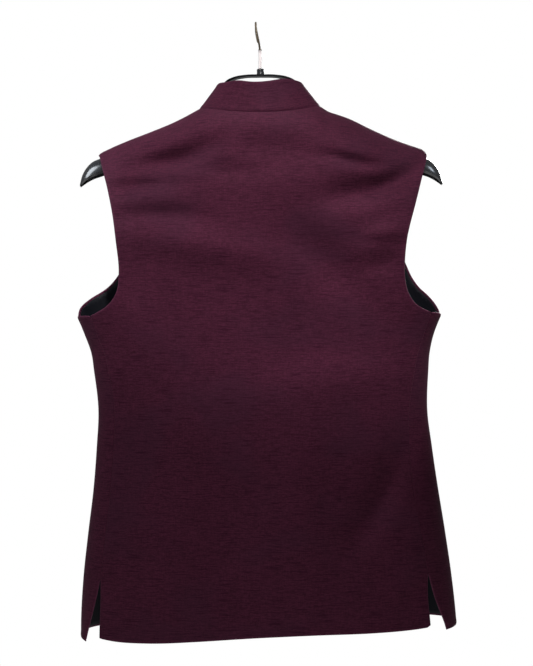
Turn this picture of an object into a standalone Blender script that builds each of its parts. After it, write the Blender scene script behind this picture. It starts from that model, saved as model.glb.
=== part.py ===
"""A sleeveless Nehru jacket, buttoned, on a moulded suit hanger.

Metres, +Z up. The front of the jacket faces -Y and the wearer's left is +X. The origin is the
inner top of the hanger's hook, where the rail carries it.

Every cloth piece is cut from one form. A place on the form has two measures: `around`, the
distance round the body from the centre line of one face, and `height`, the height above the
origin, unrolled where the cloth turns over the shoulder. Each piece is an outline in those two
measures, filled with triangles, set on the form and given its thickness.
"""

import math

import bpy
import numpy as np
from mathutils import Vector
from mathutils.geometry import delaunay_2d_cdt, interpolate_bezier

FRONT, BACK = -1, 1
LEFT, RIGHT = 1, -1

# ---- Cloth ----
CLOTH = 0.002
COLLAR_CLOTH = 0.0026
LINING = 0.001
SEAM_GAP = 0.0003
MESH_STEP = 0.024
EDGE_STEP = 0.016
COLLAR_STEP = 0.012
MITRE_LIMIT = 0.25
KEPT_SHARE = 0.99
MERGE_DISTANCE = 1e-7
NORMAL_STEP = 0.0004
SHARP_ANGLE = math.radians(40)

# ---- Body form ----
ROUNDNESS = 2.8
SECTION_SAMPLES = 4001
CHEST_Z = -0.367
QUARTER_ROUND = 0.262
SHOULDER_DROP = 0.12
SHOULDER_ROUND = 0.144
SHOULDER_REACH = 0.205
SHOULDERS_FORWARD = 0.022
FORWARD_FADES_BY = 0.22

# height, half-width on the left, half-width on the right
SIDES = (
    (-0.150, 0.2360, 0.2340),
    (-0.367, 0.2345, 0.2288),
    (-0.395, 0.2230, 0.2183),
    (-0.417, 0.2150, 0.2135),
    (-0.440, 0.2115, 0.2118),
    (-0.490, 0.2060, 0.2108),
    (-0.535, 0.2080, 0.2165),
    (-0.590, 0.2122, 0.2245),
    (-0.645, 0.2188, 0.2335),
    (-0.700, 0.2247, 0.2415),
    (-0.755, 0.2278, 0.2473),
    (-0.790, 0.2278, 0.2490),
)
# height, depth of the back, depth of the front
DEPTHS = (
    (-0.060, 0.052, 0.050),
    (-0.115, 0.058, 0.056),
    (-0.172, 0.066, 0.060),
    (-0.250, 0.075, 0.072),
    (-0.367, 0.073, 0.075),
    (-0.500, 0.061, 0.066),
    (-0.640, 0.065, 0.067),
    (-0.790, 0.070, 0.070),
)
# distance out from the centre, height of the shoulder ridge on the left, height on the right
SHOULDER = (
    (0.000, -0.0920, -0.0920),
    (0.040, -0.0963, -0.0953),
    (0.076, -0.1068, -0.1052),
    (0.085, -0.1116, -0.1108),
    (0.096, -0.1175, -0.1144),
    (0.110, -0.1242, -0.1190),
    (0.141, -0.1364, -0.1331),
    (0.172, -0.1476, -0.1459),
    (0.194, -0.1565, -0.1530),
    (0.206, -0.1625, -0.1572),
    (0.217, -0.1712, -0.1640),
    (0.243, -0.1970, -0.1920),
)
# Largest folds: face, centre along x, centre height, half-length, half-width, slope, depth
FOLDS = (
    (BACK, 0.130, -0.190, 0.090, 0.022, -0.10, -0.0035),
    (BACK, 0.120, -0.232, 0.080, 0.020, 0.00, -0.0025),
    (BACK, -0.150, -0.175, 0.055, 0.018, 0.45, -0.0035),
    (BACK, -0.095, -0.290, 0.022, 0.080, 0.00, -0.0030),
    (FRONT, 0.120, -0.240, 0.070, 0.024, -0.30, -0.0030),
    (FRONT, -0.120, -0.245, 0.070, 0.024, 0.30, -0.0030),
)

# ---- Edges of the back and the fronts ----
# height, half-width of the side seam, which is the back's vent edge below the top of the vent
SIDE_SEAM = {
    LEFT: (
        (-0.7715, 0.2010),
        (-0.7220, 0.1995),
        (-0.7030, 0.2000),
        (-0.6400, 0.1930),
        (-0.5920, 0.1880),
        (-0.5300, 0.1835),
        (-0.4800, 0.1835),
        (-0.4300, 0.1920),
        (-0.3950, 0.2040),
        (-0.3710, 0.2120),
    ),
    RIGHT: (
        (-0.7550, 0.2110),
        (-0.7180, 0.2076),
        (-0.6910, 0.2078),
        (-0.6350, 0.1980),
        (-0.5880, 0.1900),
        (-0.5300, 0.1850),
        (-0.4800, 0.1855),
        (-0.4300, 0.1930),
        (-0.3950, 0.2030),
        (-0.3662, 0.2120),
    ),
}
# height, half-width of the armhole on the back face, from above the side seam up
BACK_ARMHOLE = {
    LEFT: (
        (-0.3665, 0.2030),
        (-0.3600, 0.1920),
        (-0.3500, 0.1825),
        (-0.3385, 0.1774),
        (-0.3190, 0.1756),
        (-0.2780, 0.1796),
        (-0.2230, 0.1894),
        (-0.1980, 0.1962),
        (-0.1830, 0.2010),
    ),
    RIGHT: (
        (-0.3620, 0.2020),
        (-0.3560, 0.1920),
        (-0.3440, 0.1832),
        (-0.3245, 0.1781),
        (-0.3000, 0.1784),
        (-0.2780, 0.1809),
        (-0.2270, 0.1942),
        (-0.1920, 0.2042),
        (-0.1800, 0.2085),
    ),
}
# the same on the front face, from the outermost point at the side up
FRONT_ARMHOLE = {
    LEFT: (
        (-0.3670, 0.2340),
        (-0.3616, 0.2322),
        (-0.3546, 0.2270),
        (-0.3455, 0.2162),
        (-0.3393, 0.2063),
        (-0.3324, 0.1978),
        (-0.3144, 0.1850),
        (-0.2800, 0.1735),
        (-0.2450, 0.1730),
        (-0.2100, 0.1830),
        (-0.1850, 0.1950),
    ),
    RIGHT: (
        (-0.3650, 0.2288),
        (-0.3600, 0.2270),
        (-0.3509, 0.2230),
        (-0.3432, 0.2168),
        (-0.3326, 0.2061),
        (-0.3206, 0.1968),
        (-0.3041, 0.1880),
        (-0.2750, 0.1760),
        (-0.2420, 0.1760),
        (-0.2080, 0.1870),
        (-0.1820, 0.2000),
    ),
}
SHOULDER_TIP = {LEFT: 0.2080, RIGHT: 0.2135}
TIP_ROUNDING = 0.006
ARMPIT_ROUNDING = 0.005
VENT_TOP = {LEFT: -0.7030, RIGHT: -0.6910}
# how far the front's vent edge stands out from the back's, at the hem
VENT_FLARE = {LEFT: 0.0190, RIGHT: 0.0210}
VENT_STEPS = 5
OVERLAP = 0.020
OVERLAP_DROP = 0.001
UNDERLAP_SINK = 0.0034
UNDERLAP_MARGIN = 0.012
UNDERLAP_BLEND = 0.024
FRONT_CORNER_RADIUS = 0.022
# distance round the face from its centre towards the left, height of the hem
HEM_BACK = (
    (-0.220, -0.7547),
    (-0.180, -0.7590),
    (-0.125, -0.7622),
    (-0.060, -0.7640),
    (0.010, -0.7675),
    (0.080, -0.7720),
    (0.140, -0.7748),
    (0.180, -0.7745),
    (0.210, -0.7715),
)
HEM_FRONT = (
    (-0.305, -0.7625),
    (-0.275, -0.7595),
    (-0.250, -0.7580),
    (-0.200, -0.7580),
    (0.000, -0.7665),
    (0.200, -0.7705),
    (0.240, -0.7725),
    (0.300, -0.7785),
)

# ---- Neck and collar ----
NECK_HALF_WIDTH = 0.0772
NECK_SHIFT = 0.0012
NECK_BACK_Z = -0.1178
NECK_FRONT_Z = -0.1722
NECK_STEPS = 8
COLLAR_HEIGHT = 0.041
COLLAR_HALF_GIRTH = 0.210
COLLAR_TOP_HALF_WIDTH = 0.0523
COLLAR_TOP_SHIFT = 0.0020
COLLAR_TOP_TILT = 0.0008
COLLAR_TOP_BACK_Y = 0.036
COLLAR_TOP_FRONT_Y = -0.060
COLLAR_TOP_SIDE_Z = -0.0748
COLLAR_TOP_BACK_Z = -0.0785
COLLAR_TOP_FRONT_Z = -0.1310
COLLAR_END_RADIUS = 0.018
COLLAR_END_GAP = 0.0025
COLLAR_CORNER_STEPS = 5
COLLAR_LIFT = 1.5 * SEAM_GAP

# ---- Lining, measured in from the edges of its front ----
LINING_INSET = 0.006
LINING_FRONT_EDGE = 0.058

# ---- Buttons ----
BUTTON_RADIUS = 0.0100
BUTTON_THICK = 0.0030
BUTTON_DISH = 0.0010
BUTTON_RIM = 0.0022
BUTTON_SIDES = 24
BUTTON_HOLE_RADIUS = 0.0010
BUTTON_HOLE_OFFSET = 0.0020
BUTTON_HOLE_SIDES = 8
BUTTON_GAP = 0.0006
BUTTON_TOP_Z = -0.197
BUTTON_PITCH = 0.098
BUTTON_COUNT = 5
BUTTON_SEAT_ROWS = 5

# ---- Hanger ----
HANGER_SHIFT = 0.0010
HOOK_LEAN = 0.0056
LEAN_STARTS_Z = -0.042
LEAN_ENDS_Z = -0.003
HOOK_INNER_RADIUS = 0.0145
HOOK_WIRE = 0.0016
HOOK_START = math.radians(-50)
HOOK_END = math.radians(205)
STEM_WIRE = 0.0021
STEM_TOP_Z = -0.0385
STEM_STEP = 0.6
BEND_SHARE = 1 / 2.2
BEND_STEPS = 9
ARC_STEPS = 27
TAPER_LENGTH = 0.010
FERRULE_RADIUS = 0.0046
FERRULE_BORE = 0.0025
FERRULE_CHAMFER = 0.0008
FERRULE_TOP_Z = -0.0572
FERRULE_SIDES = 32
ARCH_TOP_Z = -0.0645
HANGER_TILT = math.radians(0.35)
# distance out, height of the crown, half-width front to back, drop from crown to rim, wall
HANGER = (
    (0.0000, -0.0645, 0.0080, 0.0006, 0.0022),
    (0.0200, -0.0650, 0.0082, 0.0007, 0.0022),
    (0.0340, -0.0674, 0.0086, 0.0010, 0.0024),
    (0.0430, -0.0714, 0.0090, 0.0016, 0.0028),
    (0.0485, -0.0775, 0.0096, 0.0024, 0.0032),
    (0.0525, -0.0860, 0.0102, 0.0034, 0.0036),
    (0.0570, -0.0965, 0.0108, 0.0038, 0.0038),
    (0.0640, -0.1060, 0.0111, 0.0042, 0.0038),
    (0.0740, -0.1130, 0.0114, 0.0046, 0.0036),
    (0.0880, -0.1200, 0.0118, 0.0054, 0.0036),
    (0.1100, -0.1300, 0.0130, 0.0080, 0.0032),
    (0.1400, -0.1420, 0.0150, 0.0125, 0.0030),
    (0.1700, -0.1540, 0.0168, 0.0180, 0.0030),
    (0.1920, -0.1625, 0.0176, 0.0210, 0.0030),
    (0.2060, -0.1690, 0.0174, 0.0202, 0.0030),
    (0.2160, -0.1748, 0.0162, 0.0184, 0.0028),
    (0.2240, -0.1818, 0.0138, 0.0146, 0.0026),
    (0.2295, -0.1890, 0.0100, 0.0098, 0.0022),
    (0.2325, -0.1960, 0.0055, 0.0040, 0.0016),
)
HANGER_ARC_STEPS = 10

# colour, roughness, metallic
FINISHES = {
    "cloth": ((0.062, 0.011, 0.032, 1.0), 0.62, 0.0),
    "lining": ((0.006, 0.006, 0.010, 1.0), 0.45, 0.0),
    "button": ((0.030, 0.010, 0.018, 1.0), 0.35, 0.0),
    "plastic": ((0.010, 0.011, 0.013, 1.0), 0.22, 0.0),
    "chrome": ((0.700, 0.690, 0.680, 1.0), 0.18, 1.0),
}


# ---- Curves ----


def eased(rows, column, at):
    """A smooth curve through one column of a table, against its first column."""
    table = np.array(rows)
    table = table[np.argsort(table[:, 0])]
    x, y = table[:, 0], table[:, column]
    slope = np.gradient(y, x)
    at = np.clip(at, x[0], x[-1])
    i = np.clip(np.searchsorted(x, at) - 1, 0, len(x) - 2)
    width = x[i + 1] - x[i]
    t = (at - x[i]) / width
    level = y[i] * (1 + 2 * t) * (1 - t) ** 2 + y[i + 1] * t**2 * (3 - 2 * t)
    return level + width * (slope[i] * t * (1 - t) ** 2 - slope[i + 1] * t**2 * (1 - t))


def smooth_step(t):
    t = np.clip(t, 0, 1)
    return t * t * (3 - 2 * t)


def through(points, step):
    """A smooth curve through points, as points about one step apart."""
    points = np.array(points, dtype=float)
    lengths = np.linalg.norm(np.diff(points, axis=0), axis=1)
    rows = np.column_stack([np.concatenate([[0], np.cumsum(lengths)]), points])
    at = np.linspace(0, rows[-1, 0], max(2, round(rows[-1, 0] / step) + 1))
    return np.stack([eased(rows, 1, at), eased(rows, 2, at)], axis=-1)


def rounded_corner(before, corner, after, radius, steps=3):
    """A curved turn in place of a corner."""
    before, corner, after = (np.array(p, dtype=float) for p in (before, corner, after))
    start = corner + radius * (before - corner) / np.linalg.norm(before - corner)
    end = corner + radius * (after - corner) / np.linalg.norm(after - corner)
    t = np.linspace(0, 1, steps + 1)[:, None]
    return (1 - t) ** 2 * start + 2 * t * (1 - t) * corner + t**2 * end


def circle(radius, sides, centre=(0, 0)):
    angle = np.arange(sides) * 2 * math.pi / sides
    return np.array(centre) + radius * np.stack([np.cos(angle), np.sin(angle)], axis=-1)


# ---- The form ----


def section_quarter():
    """Across and deep, for a quarter of the rounded section, by its share of the way round."""
    angle = np.linspace(0, math.pi / 2, SECTION_SAMPLES)
    across = np.sin(angle) ** (2 / ROUNDNESS)
    deep = np.cos(angle) ** (2 / ROUNDNESS)
    chest_width, chest_depth = eased(SIDES, 1, CHEST_Z), eased(DEPTHS, 1, CHEST_Z)
    step = np.hypot(np.diff(across) * chest_width, np.diff(deep) * chest_depth)
    share = np.concatenate([[0], np.cumsum(step)])
    return share / share[-1], across, deep


SHARE, ACROSS, DEEP = section_quarter()


def half_width(z, side):
    return np.where(side > 0, eased(SIDES, 1, z), eased(SIDES, 2, z))


def depth(z, face):
    return np.where(face > 0, eased(DEPTHS, 1, z), eased(DEPTHS, 2, z))


def ridge(x):
    """Height of the shoulder line, which the neck hole cuts off in the middle."""
    return np.where(x > 0, eased(SHOULDER, 1, abs(x)), eased(SHOULDER, 2, abs(x)))


def forward(x):
    """How far the shoulders are carried forward by the hanger's curve."""
    return SHOULDERS_FORWARD * (abs(x) / SHOULDER_REACH) ** 2


def relief(face, x, z):
    """How far the largest folds push the cloth out."""
    total = np.zeros_like(x)
    for fold_face, at_x, at_z, long, wide, slope, size in FOLDS:
        along = (x - at_x) / long
        across = (z - at_z - slope * (x - at_x)) / wide
        total += (fold_face == face) * size * np.exp(-(along**2) - across**2)
    return total


def form(face, around, height):
    """Points of the form. `around` past the side comes out on the other face."""
    around, height = np.broadcast_arrays(np.float64(around), np.float64(height))
    side = np.where(around < 0, RIGHT, LEFT)
    share = abs(around) / QUARTER_ROUND
    past = share > 1
    share = np.where(past, 2 - share, share)
    here = np.where(past, -face, face)
    x = side * half_width(height, side) * np.interp(share, SHARE, ACROSS)
    fallen = ridge(x) + SHOULDER_ROUND - SHOULDER_DROP - height
    turn = np.minimum(fallen / SHOULDER_ROUND, 1) * math.pi / 2
    turned = SHOULDER_DROP * (1 - np.cos(turn))
    down = turned + np.maximum(fallen - SHOULDER_ROUND, 0)
    z = ridge(x) - down
    y = here * depth(z, here) * np.sin(turn) * np.interp(share, SHARE, DEEP)
    y -= forward(x) * (1 - smooth_step(down / FORWARD_FADES_BY))
    y += here * relief(here, x, z) * np.sin(turn)
    return np.stack([x, y, z], axis=-1)


def laid(x, z, past=False):
    """The form's two measures of points at x and z, on this face or past the side."""
    x, z = np.broadcast_arrays(np.float64(x), np.float64(z))
    down = np.maximum(ridge(x) - z, 0)
    turn = np.arccos(np.clip(1 - down / SHOULDER_DROP, 0, 1)) / (math.pi / 2)
    fallen = turn * SHOULDER_ROUND + np.maximum(down - SHOULDER_DROP, 0)
    height = ridge(x) + SHOULDER_ROUND - SHOULDER_DROP - fallen
    side = np.where(x < 0, RIGHT, LEFT)
    share = np.interp(np.clip(abs(x) / half_width(height, side), 0, 1), ACROSS, SHARE)
    share = np.where(past, 2 - share, share)
    return np.stack([side * share * QUARTER_ROUND, height], axis=-1)


def neck_side(side):
    """Where the neck seam meets the shoulder."""
    return side * NECK_HALF_WIDTH + NECK_SHIFT


def neck_ring(theta):
    """x and z of the neck seam, theta from the centre back round to the centre front."""
    side_x = neck_side(np.where(theta < 0, RIGHT, LEFT))
    side_z = ridge(side_x)
    middle_z = np.where(np.cos(theta) > 0, NECK_BACK_Z, NECK_FRONT_Z)
    return side_x * abs(np.sin(theta)), side_z + (middle_z - side_z) * np.cos(theta) ** 2


def hem_line(hem, start, end):
    """A hem in the form's measures, between two places round it."""
    around = np.linspace(start, end, 1 + round(abs(end - start) / EDGE_STEP))
    return np.stack([around, eased(hem, 1, around)], axis=-1)


# ---- Outlines, anticlockwise with +X to the right ----


def shoulder_line(side):
    """From the tip to the neck along the ridge."""
    tip, neck = side * SHOULDER_TIP[side], neck_side(side)
    x = np.linspace(tip, neck, 1 + round(abs(tip - neck) / EDGE_STEP))
    return laid(x, ridge(x))


def table_edge(rows, side, past=False):
    """A table's edge laid on the form."""
    height, reach = np.array(rows).T
    return laid(side * reach, height, past)


def side_seam(side, past=False):
    rows = [row for row in SIDE_SEAM[side] if row[0] >= VENT_TOP[side]]
    return through(table_edge(rows, side, past), EDGE_STEP)


def upper_edge(seam, armhole_rows, side, theta):
    """From the seam's top up the armhole, over the shoulder's tip, then in and round the neck."""
    shoulder = shoulder_line(side)
    armhole = through([seam[-1], *table_edge(armhole_rows, side), shoulder[0]], EDGE_STEP)
    tip = rounded_corner(armhole[-2], shoulder[0], shoulder[1], TIP_ROUNDING)
    return np.concatenate([armhole[:-1], tip, shoulder[1:-1], laid(*neck_ring(side * theta))])


def back_side(side):
    """The back's edge on one side, from the hem up to the centre of the neck."""
    vent = table_edge([row for row in SIDE_SEAM[side] if row[0] < VENT_TOP[side]], side)
    seam = side_seam(side)
    theta = np.linspace(math.pi / 2, 0, NECK_STEPS + 1)
    upper = upper_edge(seam, BACK_ARMHOLE[side], side, theta)
    return np.concatenate([vent, seam[:-1], upper])


def back_outline():
    left, right = back_side(LEFT), back_side(RIGHT)
    hem = hem_line(HEM_BACK, right[0][0], left[0][0])
    return np.concatenate([hem[1:-1], left, right[-2::-1]])


def front_outline(side):
    seam = side_seam(side, past=True)
    hem_z = HEM_FRONT[-1 if side == LEFT else 0][1]
    vent_z = np.linspace(hem_z, VENT_TOP[side], VENT_STEPS)
    opened = (VENT_TOP[side] - vent_z) / (VENT_TOP[side] - hem_z)
    vent_x = eased(SIDE_SEAM[side], 1, vent_z) + VENT_FLARE[side] * opened
    vent = laid(side * vent_x, vent_z, past=True)
    theta = np.linspace(math.pi / 2, math.pi, NECK_STEPS + 1)
    upper = upper_edge(seam, FRONT_ARMHOLE[side], side, theta)
    armpit = rounded_corner(seam[-2], seam[-1], upper[1], ARMPIT_ROUNDING)
    edge_x = -side * OVERLAP
    edge_top = laid(edge_x, NECK_FRONT_Z - OVERLAP_DROP)
    foot = laid(edge_x, eased(HEM_FRONT, 1, edge_x))
    hem = hem_line(HEM_FRONT, foot[0], vent[0][0])
    corner = rounded_corner(edge_top, foot, hem[-1], FRONT_CORNER_RADIUS)
    hem = hem[side * (hem[:, 0] - corner[-1][0]) > EDGE_STEP / 2]
    pieces = [corner, hem[:-1], vent[:-1], seam[:-1], armpit, upper[1:], [edge_top]]
    outline = np.concatenate(pieces)
    return outline if side == LEFT else outline[::-1]


def collar_outline():
    end = COLLAR_HALF_GIRTH - COLLAR_END_GAP
    theta = np.linspace(0, math.pi, 2 * NECK_STEPS + 1)[:-1]
    half = theta / math.pi * COLLAR_HALF_GIRTH
    around = np.concatenate([-half[:0:-1], half])
    bottom = np.stack([around, np.zeros(len(around))], axis=-1)
    top = np.stack([around[::-1], np.full(len(around), COLLAR_HEIGHT)], axis=-1)
    top = top[abs(top[:, 0]) < end - COLLAR_END_RADIUS]
    foot, head = np.array([end, 0]), np.array([end, COLLAR_HEIGHT])
    centre = (0, COLLAR_HEIGHT)
    corner = rounded_corner(foot, head, centre, COLLAR_END_RADIUS, COLLAR_CORNER_STEPS)
    mirror = (-1, 1)
    return np.concatenate([bottom, [foot], corner, top, corner[::-1] * mirror, [foot * mirror]])


def divided(outline, step):
    """The same outline with its long sides split."""
    points = []
    for start, end in zip(outline, np.roll(outline, -1, axis=0), strict=True):
        count = math.ceil(np.linalg.norm(end - start) / step)
        points += [start + (end - start) * i / count for i in range(count)]
    return np.array(points)


def moved_in(outline, gap):
    """An anticlockwise outline drawn in by a gap, without the points that would fold over."""
    side = np.roll(outline, -1, axis=0) - outline
    inward = np.stack([-side[:, 1], side[:, 0]], axis=-1)
    inward /= np.linalg.norm(inward, axis=1, keepdims=True)
    before = np.roll(inward, 1, axis=0)
    spread = 1 + (inward * before).sum(axis=1, keepdims=True)
    moved = outline + gap * (inward + before) / np.maximum(spread, MITRE_LIMIT)
    return moved[distance_to(moved, [outline]) > KEPT_SHARE * gap]


def clipped(outline, side, start):
    """The part of an outline at least `start` round towards one side."""
    kept = []
    for here, after in zip(outline, np.roll(outline, -1, axis=0), strict=True):
        a, b = side * here[0] - start, side * after[0] - start
        if a >= 0:
            kept.append(here)
        if a * b < 0:
            kept.append(here + (after - here) * a / (a - b))
    return np.array(kept)


# ---- Filling an outline ----


def distance_to(points, loops):
    """Distance of each point to the nearest side of the loops."""
    nearest = np.full(len(points), np.inf)
    for loop in loops:
        for start, end in zip(loop, np.roll(loop, -1, axis=0), strict=True):
            along = end - start
            t = np.clip((points - start) @ along / (along @ along), 0, 1)
            gap = np.linalg.norm(points - start - t[:, None] * along, axis=1)
            nearest = np.minimum(nearest, gap)
    return nearest


def inside(points, loops):
    """True where a point lies inside an odd number of the loops."""
    odd = np.zeros(len(points), dtype=bool)
    for loop in loops:
        for (x0, y0), (x1, y1) in zip(loop, np.roll(loop, -1, axis=0), strict=True):
            if y0 == y1:
                continue
            spans = (y0 > points[:, 1]) != (y1 > points[:, 1])
            odd ^= spans & (points[:, 0] < x0 + (points[:, 1] - y0) * (x1 - x0) / (y1 - y0))
    return odd


def filled(loops, step, extra=()):
    """Points and triangles that fill the loops, with any extra loops drawn in as edges."""
    drawn = [*loops, *extra]
    low, high = loops[0].min(axis=0), loops[0].max(axis=0)
    rows = np.arange(low[1], high[1], step * math.sqrt(0.75))
    spots = [
        (x, y)
        for i, y in enumerate(rows)
        for x in np.arange(low[0] + (i % 2) * step / 2, high[0], step)
    ]
    spots = np.array(spots)
    spots = spots[inside(spots, loops)]
    spots = spots[distance_to(spots, drawn) > 0.5 * step]
    edges, count = [], 0
    for loop in drawn:
        edges += [(count + i, count + (i + 1) % len(loop)) for i in range(len(loop))]
        count += len(loop)
    spread = [Vector(p) for p in np.concatenate([*drawn, spots])]
    points, _, faces, *_ = delaunay_2d_cdt(spread, edges, [], 1, MERGE_DISTANCE)
    points = np.array([tuple(p) for p in points])
    faces = np.array([tuple(f) for f in faces])
    middle = points[faces].mean(axis=1)
    return points, faces[~inside(middle, loops[1:])]


def shell_mesh(name, outer, inner, faces):
    """A closed wall between two skins that share their triangles."""
    used = np.unique(faces)
    renumber = np.full(len(outer), -1)
    renumber[used] = np.arange(len(used))
    faces = renumber[faces]
    outer, inner = outer[used], inner[used]
    offset = len(outer)
    sides = np.concatenate([faces[:, [0, 1]], faces[:, [1, 2]], faces[:, [2, 0]]])
    known = {tuple(edge) for edge in sides.tolist()}
    rim = [(a, b) for a, b in known if (b, a) not in known]
    walls = [(b, a, a + offset, b + offset) for a, b in sorted(rim)]
    polygons = [*faces.tolist(), *(faces[:, ::-1] + offset).tolist(), *walls]
    mesh = bpy.data.meshes.new(name)
    mesh.from_pydata(np.concatenate([outer, inner]).tolist(), [], polygons)
    mesh.shade_smooth()
    mesh.set_sharp_from_angle(angle=SHARP_ANGLE)
    return mesh


# ---- Objects ----

for old in list(bpy.data.objects):
    bpy.data.objects.remove(old)

hanging_axis = bpy.data.objects.new("hanging_axis", None)
hanging_axis.location.x = -HOOK_LEAN - HANGER_SHIFT
bpy.context.collection.objects.link(hanging_axis)
materials = {}


def finish(name):
    if name not in materials:
        colour, roughness, metallic = FINISHES[name]
        material = bpy.data.materials.new(name)
        material.use_nodes = True
        shader = material.node_tree.nodes["Principled BSDF"]
        shader.inputs["Base Color"].default_value = colour
        shader.inputs["Roughness"].default_value = roughness
        shader.inputs["Metallic"].default_value = metallic
        material.diffuse_color = colour
        materials[name] = material
    return materials[name]


def add(name, data, finish_name, parent=hanging_axis):
    piece = bpy.data.objects.new(name, data)
    data.materials.append(finish(finish_name))
    piece.parent = parent
    bpy.context.collection.objects.link(piece)
    return piece


def normals(place, face, around, height):
    """Outward normals, from small steps along both measures."""
    along = place(around + NORMAL_STEP, height) - place(around - NORMAL_STEP, height)
    up = place(around, height + NORMAL_STEP) - place(around, height - NORMAL_STEP)
    normal = -face * np.cross(along, up)
    return normal / np.linalg.norm(normal, axis=-1, keepdims=True)


def add_panel(name, face, outline, lining_outline=None):
    """A body panel and, from the same points, the lining that lies inside it."""
    extra = [] if lining_outline is None else [divided(lining_outline, MESH_STEP)]
    edge = divided(moved_in(outline, SEAM_GAP / 2), MESH_STEP)
    spots, faces = filled([edge], MESH_STEP, extra)
    base = form(face, *spots.T)
    normal = normals(lambda around, height: form(face, around, height), face, *spots.T)
    sunk = np.zeros(len(base))
    if name == "front_right":
        past_edge = base[:, 0] + OVERLAP + UNDERLAP_MARGIN
        sunk = UNDERLAP_SINK * smooth_step(1 + past_edge / UNDERLAP_BLEND)
    base -= normal * sunk[:, None]
    turned = faces if face == FRONT else faces[:, ::-1]
    add(name, shell_mesh(name, base, base - normal * CLOTH, turned), "cloth")
    if lining_outline is not None:
        lined = inside(spots[faces].mean(axis=1), extra)
        skin = base - normal * (CLOTH + SEAM_GAP)
        lining_name = name.replace("front", "lining")
        mesh = shell_mesh(lining_name, skin, skin - normal * LINING, turned[lined])
        add(lining_name, mesh, "lining")


def collar_point(around, height):
    """A point of the collar band, which leans in from the neck seam to its top edge."""
    around, height = np.broadcast_arrays(np.float64(around), np.float64(height))
    theta = around / COLLAR_HALF_GIRTH * math.pi
    x, z = neck_ring(theta)
    face = np.where(np.cos(theta) > 0, BACK, FRONT)
    places = laid(x, z)
    foot = np.where(
        (face > 0)[..., None],
        form(BACK, places[..., 0], places[..., 1]),
        form(FRONT, places[..., 0], places[..., 1]),
    )
    foot[..., 2] += COLLAR_LIFT
    back = np.cos(theta) > 0
    top_y = np.where(back, COLLAR_TOP_BACK_Y, -COLLAR_TOP_FRONT_Y) * np.cos(theta)
    top_z = np.where(back, COLLAR_TOP_BACK_Z, COLLAR_TOP_FRONT_Z) - COLLAR_TOP_SIDE_Z
    top_z = COLLAR_TOP_SIDE_Z + top_z * np.cos(theta) ** 2 - COLLAR_TOP_TILT * np.sin(theta)
    top_x = COLLAR_TOP_SHIFT * np.cos(theta / 2) + COLLAR_TOP_HALF_WIDTH * np.sin(theta)
    top = np.stack([top_x, top_y, top_z], axis=-1)
    return foot + (top - foot) * (height / COLLAR_HEIGHT)[..., None]


def add_collar():
    spots, faces = filled([collar_outline()], COLLAR_STEP)
    outer = collar_point(*spots.T)
    normal = normals(collar_point, BACK, *spots.T)
    mesh = shell_mesh("collar", outer, outer - normal * COLLAR_CLOTH, faces[:, ::-1])
    add("collar", mesh, "cloth")


def add_buttons():
    """Four-hole buttons with a raised rim, standing just off the left front."""
    holes = [
        circle(BUTTON_HOLE_RADIUS, BUTTON_HOLE_SIDES, centre)
        for centre in circle(BUTTON_HOLE_OFFSET, 4)
    ]
    rim = circle(BUTTON_RADIUS, BUTTON_SIDES)
    ledge = circle(BUTTON_RADIUS - BUTTON_RIM, BUTTON_SIDES)
    spots, faces = filled([rim, *holes], BUTTON_RADIUS / 2, [ledge])
    out = np.linalg.norm(spots, axis=1)
    dished = BUTTON_DISH * (1 - smooth_step((out - BUTTON_RADIUS + BUTTON_RIM) / BUTTON_RIM))
    lifted = np.stack([spots[:, 0], dished - BUTTON_THICK, spots[:, 1]], axis=-1)
    flat = lifted * (1, 0, 1)
    mesh = shell_mesh("button", lifted, flat, faces)
    for number in range(BUTTON_COUNT):
        z = BUTTON_TOP_Z - number * BUTTON_PITCH
        rows = np.linspace(z - BUTTON_RADIUS, z + BUTTON_RADIUS, BUTTON_SEAT_ROWS)
        seat = form(FRONT, 0, rows)[:, 1]
        button = add(f"button_{number + 1}", mesh.copy(), "button")
        button.rotation_euler.x = math.atan2(seat[0] - seat[-1], 2 * BUTTON_RADIUS)
        button.location = (0, seat.min() - BUTTON_GAP, z)


def turned_ring(name, profile, sides):
    """A closed profile of radius and height, turned about the z axis."""
    angle = np.arange(sides) * 2 * math.pi / sides
    points = [(r * math.cos(a), r * math.sin(a), z) for a in angle for r, z in profile]
    count = len(profile)
    quads = []
    for i in range(sides):
        here, after = i * count, (i + 1) % sides * count
        for j in range(count):
            k = (j + 1) % count
            quads.append((here + j, after + j, after + k, here + k))
    mesh = bpy.data.meshes.new(name)
    mesh.from_pydata(points, [], quads)
    mesh.shade_smooth()
    mesh.set_sharp_from_angle(angle=SHARP_ANGLE)
    return mesh


def add_ferrule(parent):
    low, high = ARCH_TOP_Z + SEAM_GAP, FERRULE_TOP_Z
    profile = (
        (FERRULE_BORE, low),
        (FERRULE_RADIUS, low),
        (FERRULE_RADIUS, high - FERRULE_CHAMFER),
        (FERRULE_RADIUS - FERRULE_CHAMFER, high),
        (FERRULE_BORE, high),
    )
    add("hanger_ferrule", turned_ring("hanger_ferrule", profile, FERRULE_SIDES), "plastic", parent)


def hanger_section(reach, crown, wide, drop, wall):
    """A crescent that opens downwards: the outer arc, then the inner arc back."""
    angle = np.linspace(-math.pi / 2, math.pi / 2, HANGER_ARC_STEPS + 1)
    y = np.concatenate([wide * np.sin(angle), (wide - wall) * np.sin(angle[::-1])])
    z = np.concatenate([drop * (np.cos(angle) - 1), drop * (np.cos(angle[::-1]) - 1) - wall])
    return np.stack([np.full(len(y), reach), y - forward(reach), crown + z], axis=-1)


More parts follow.
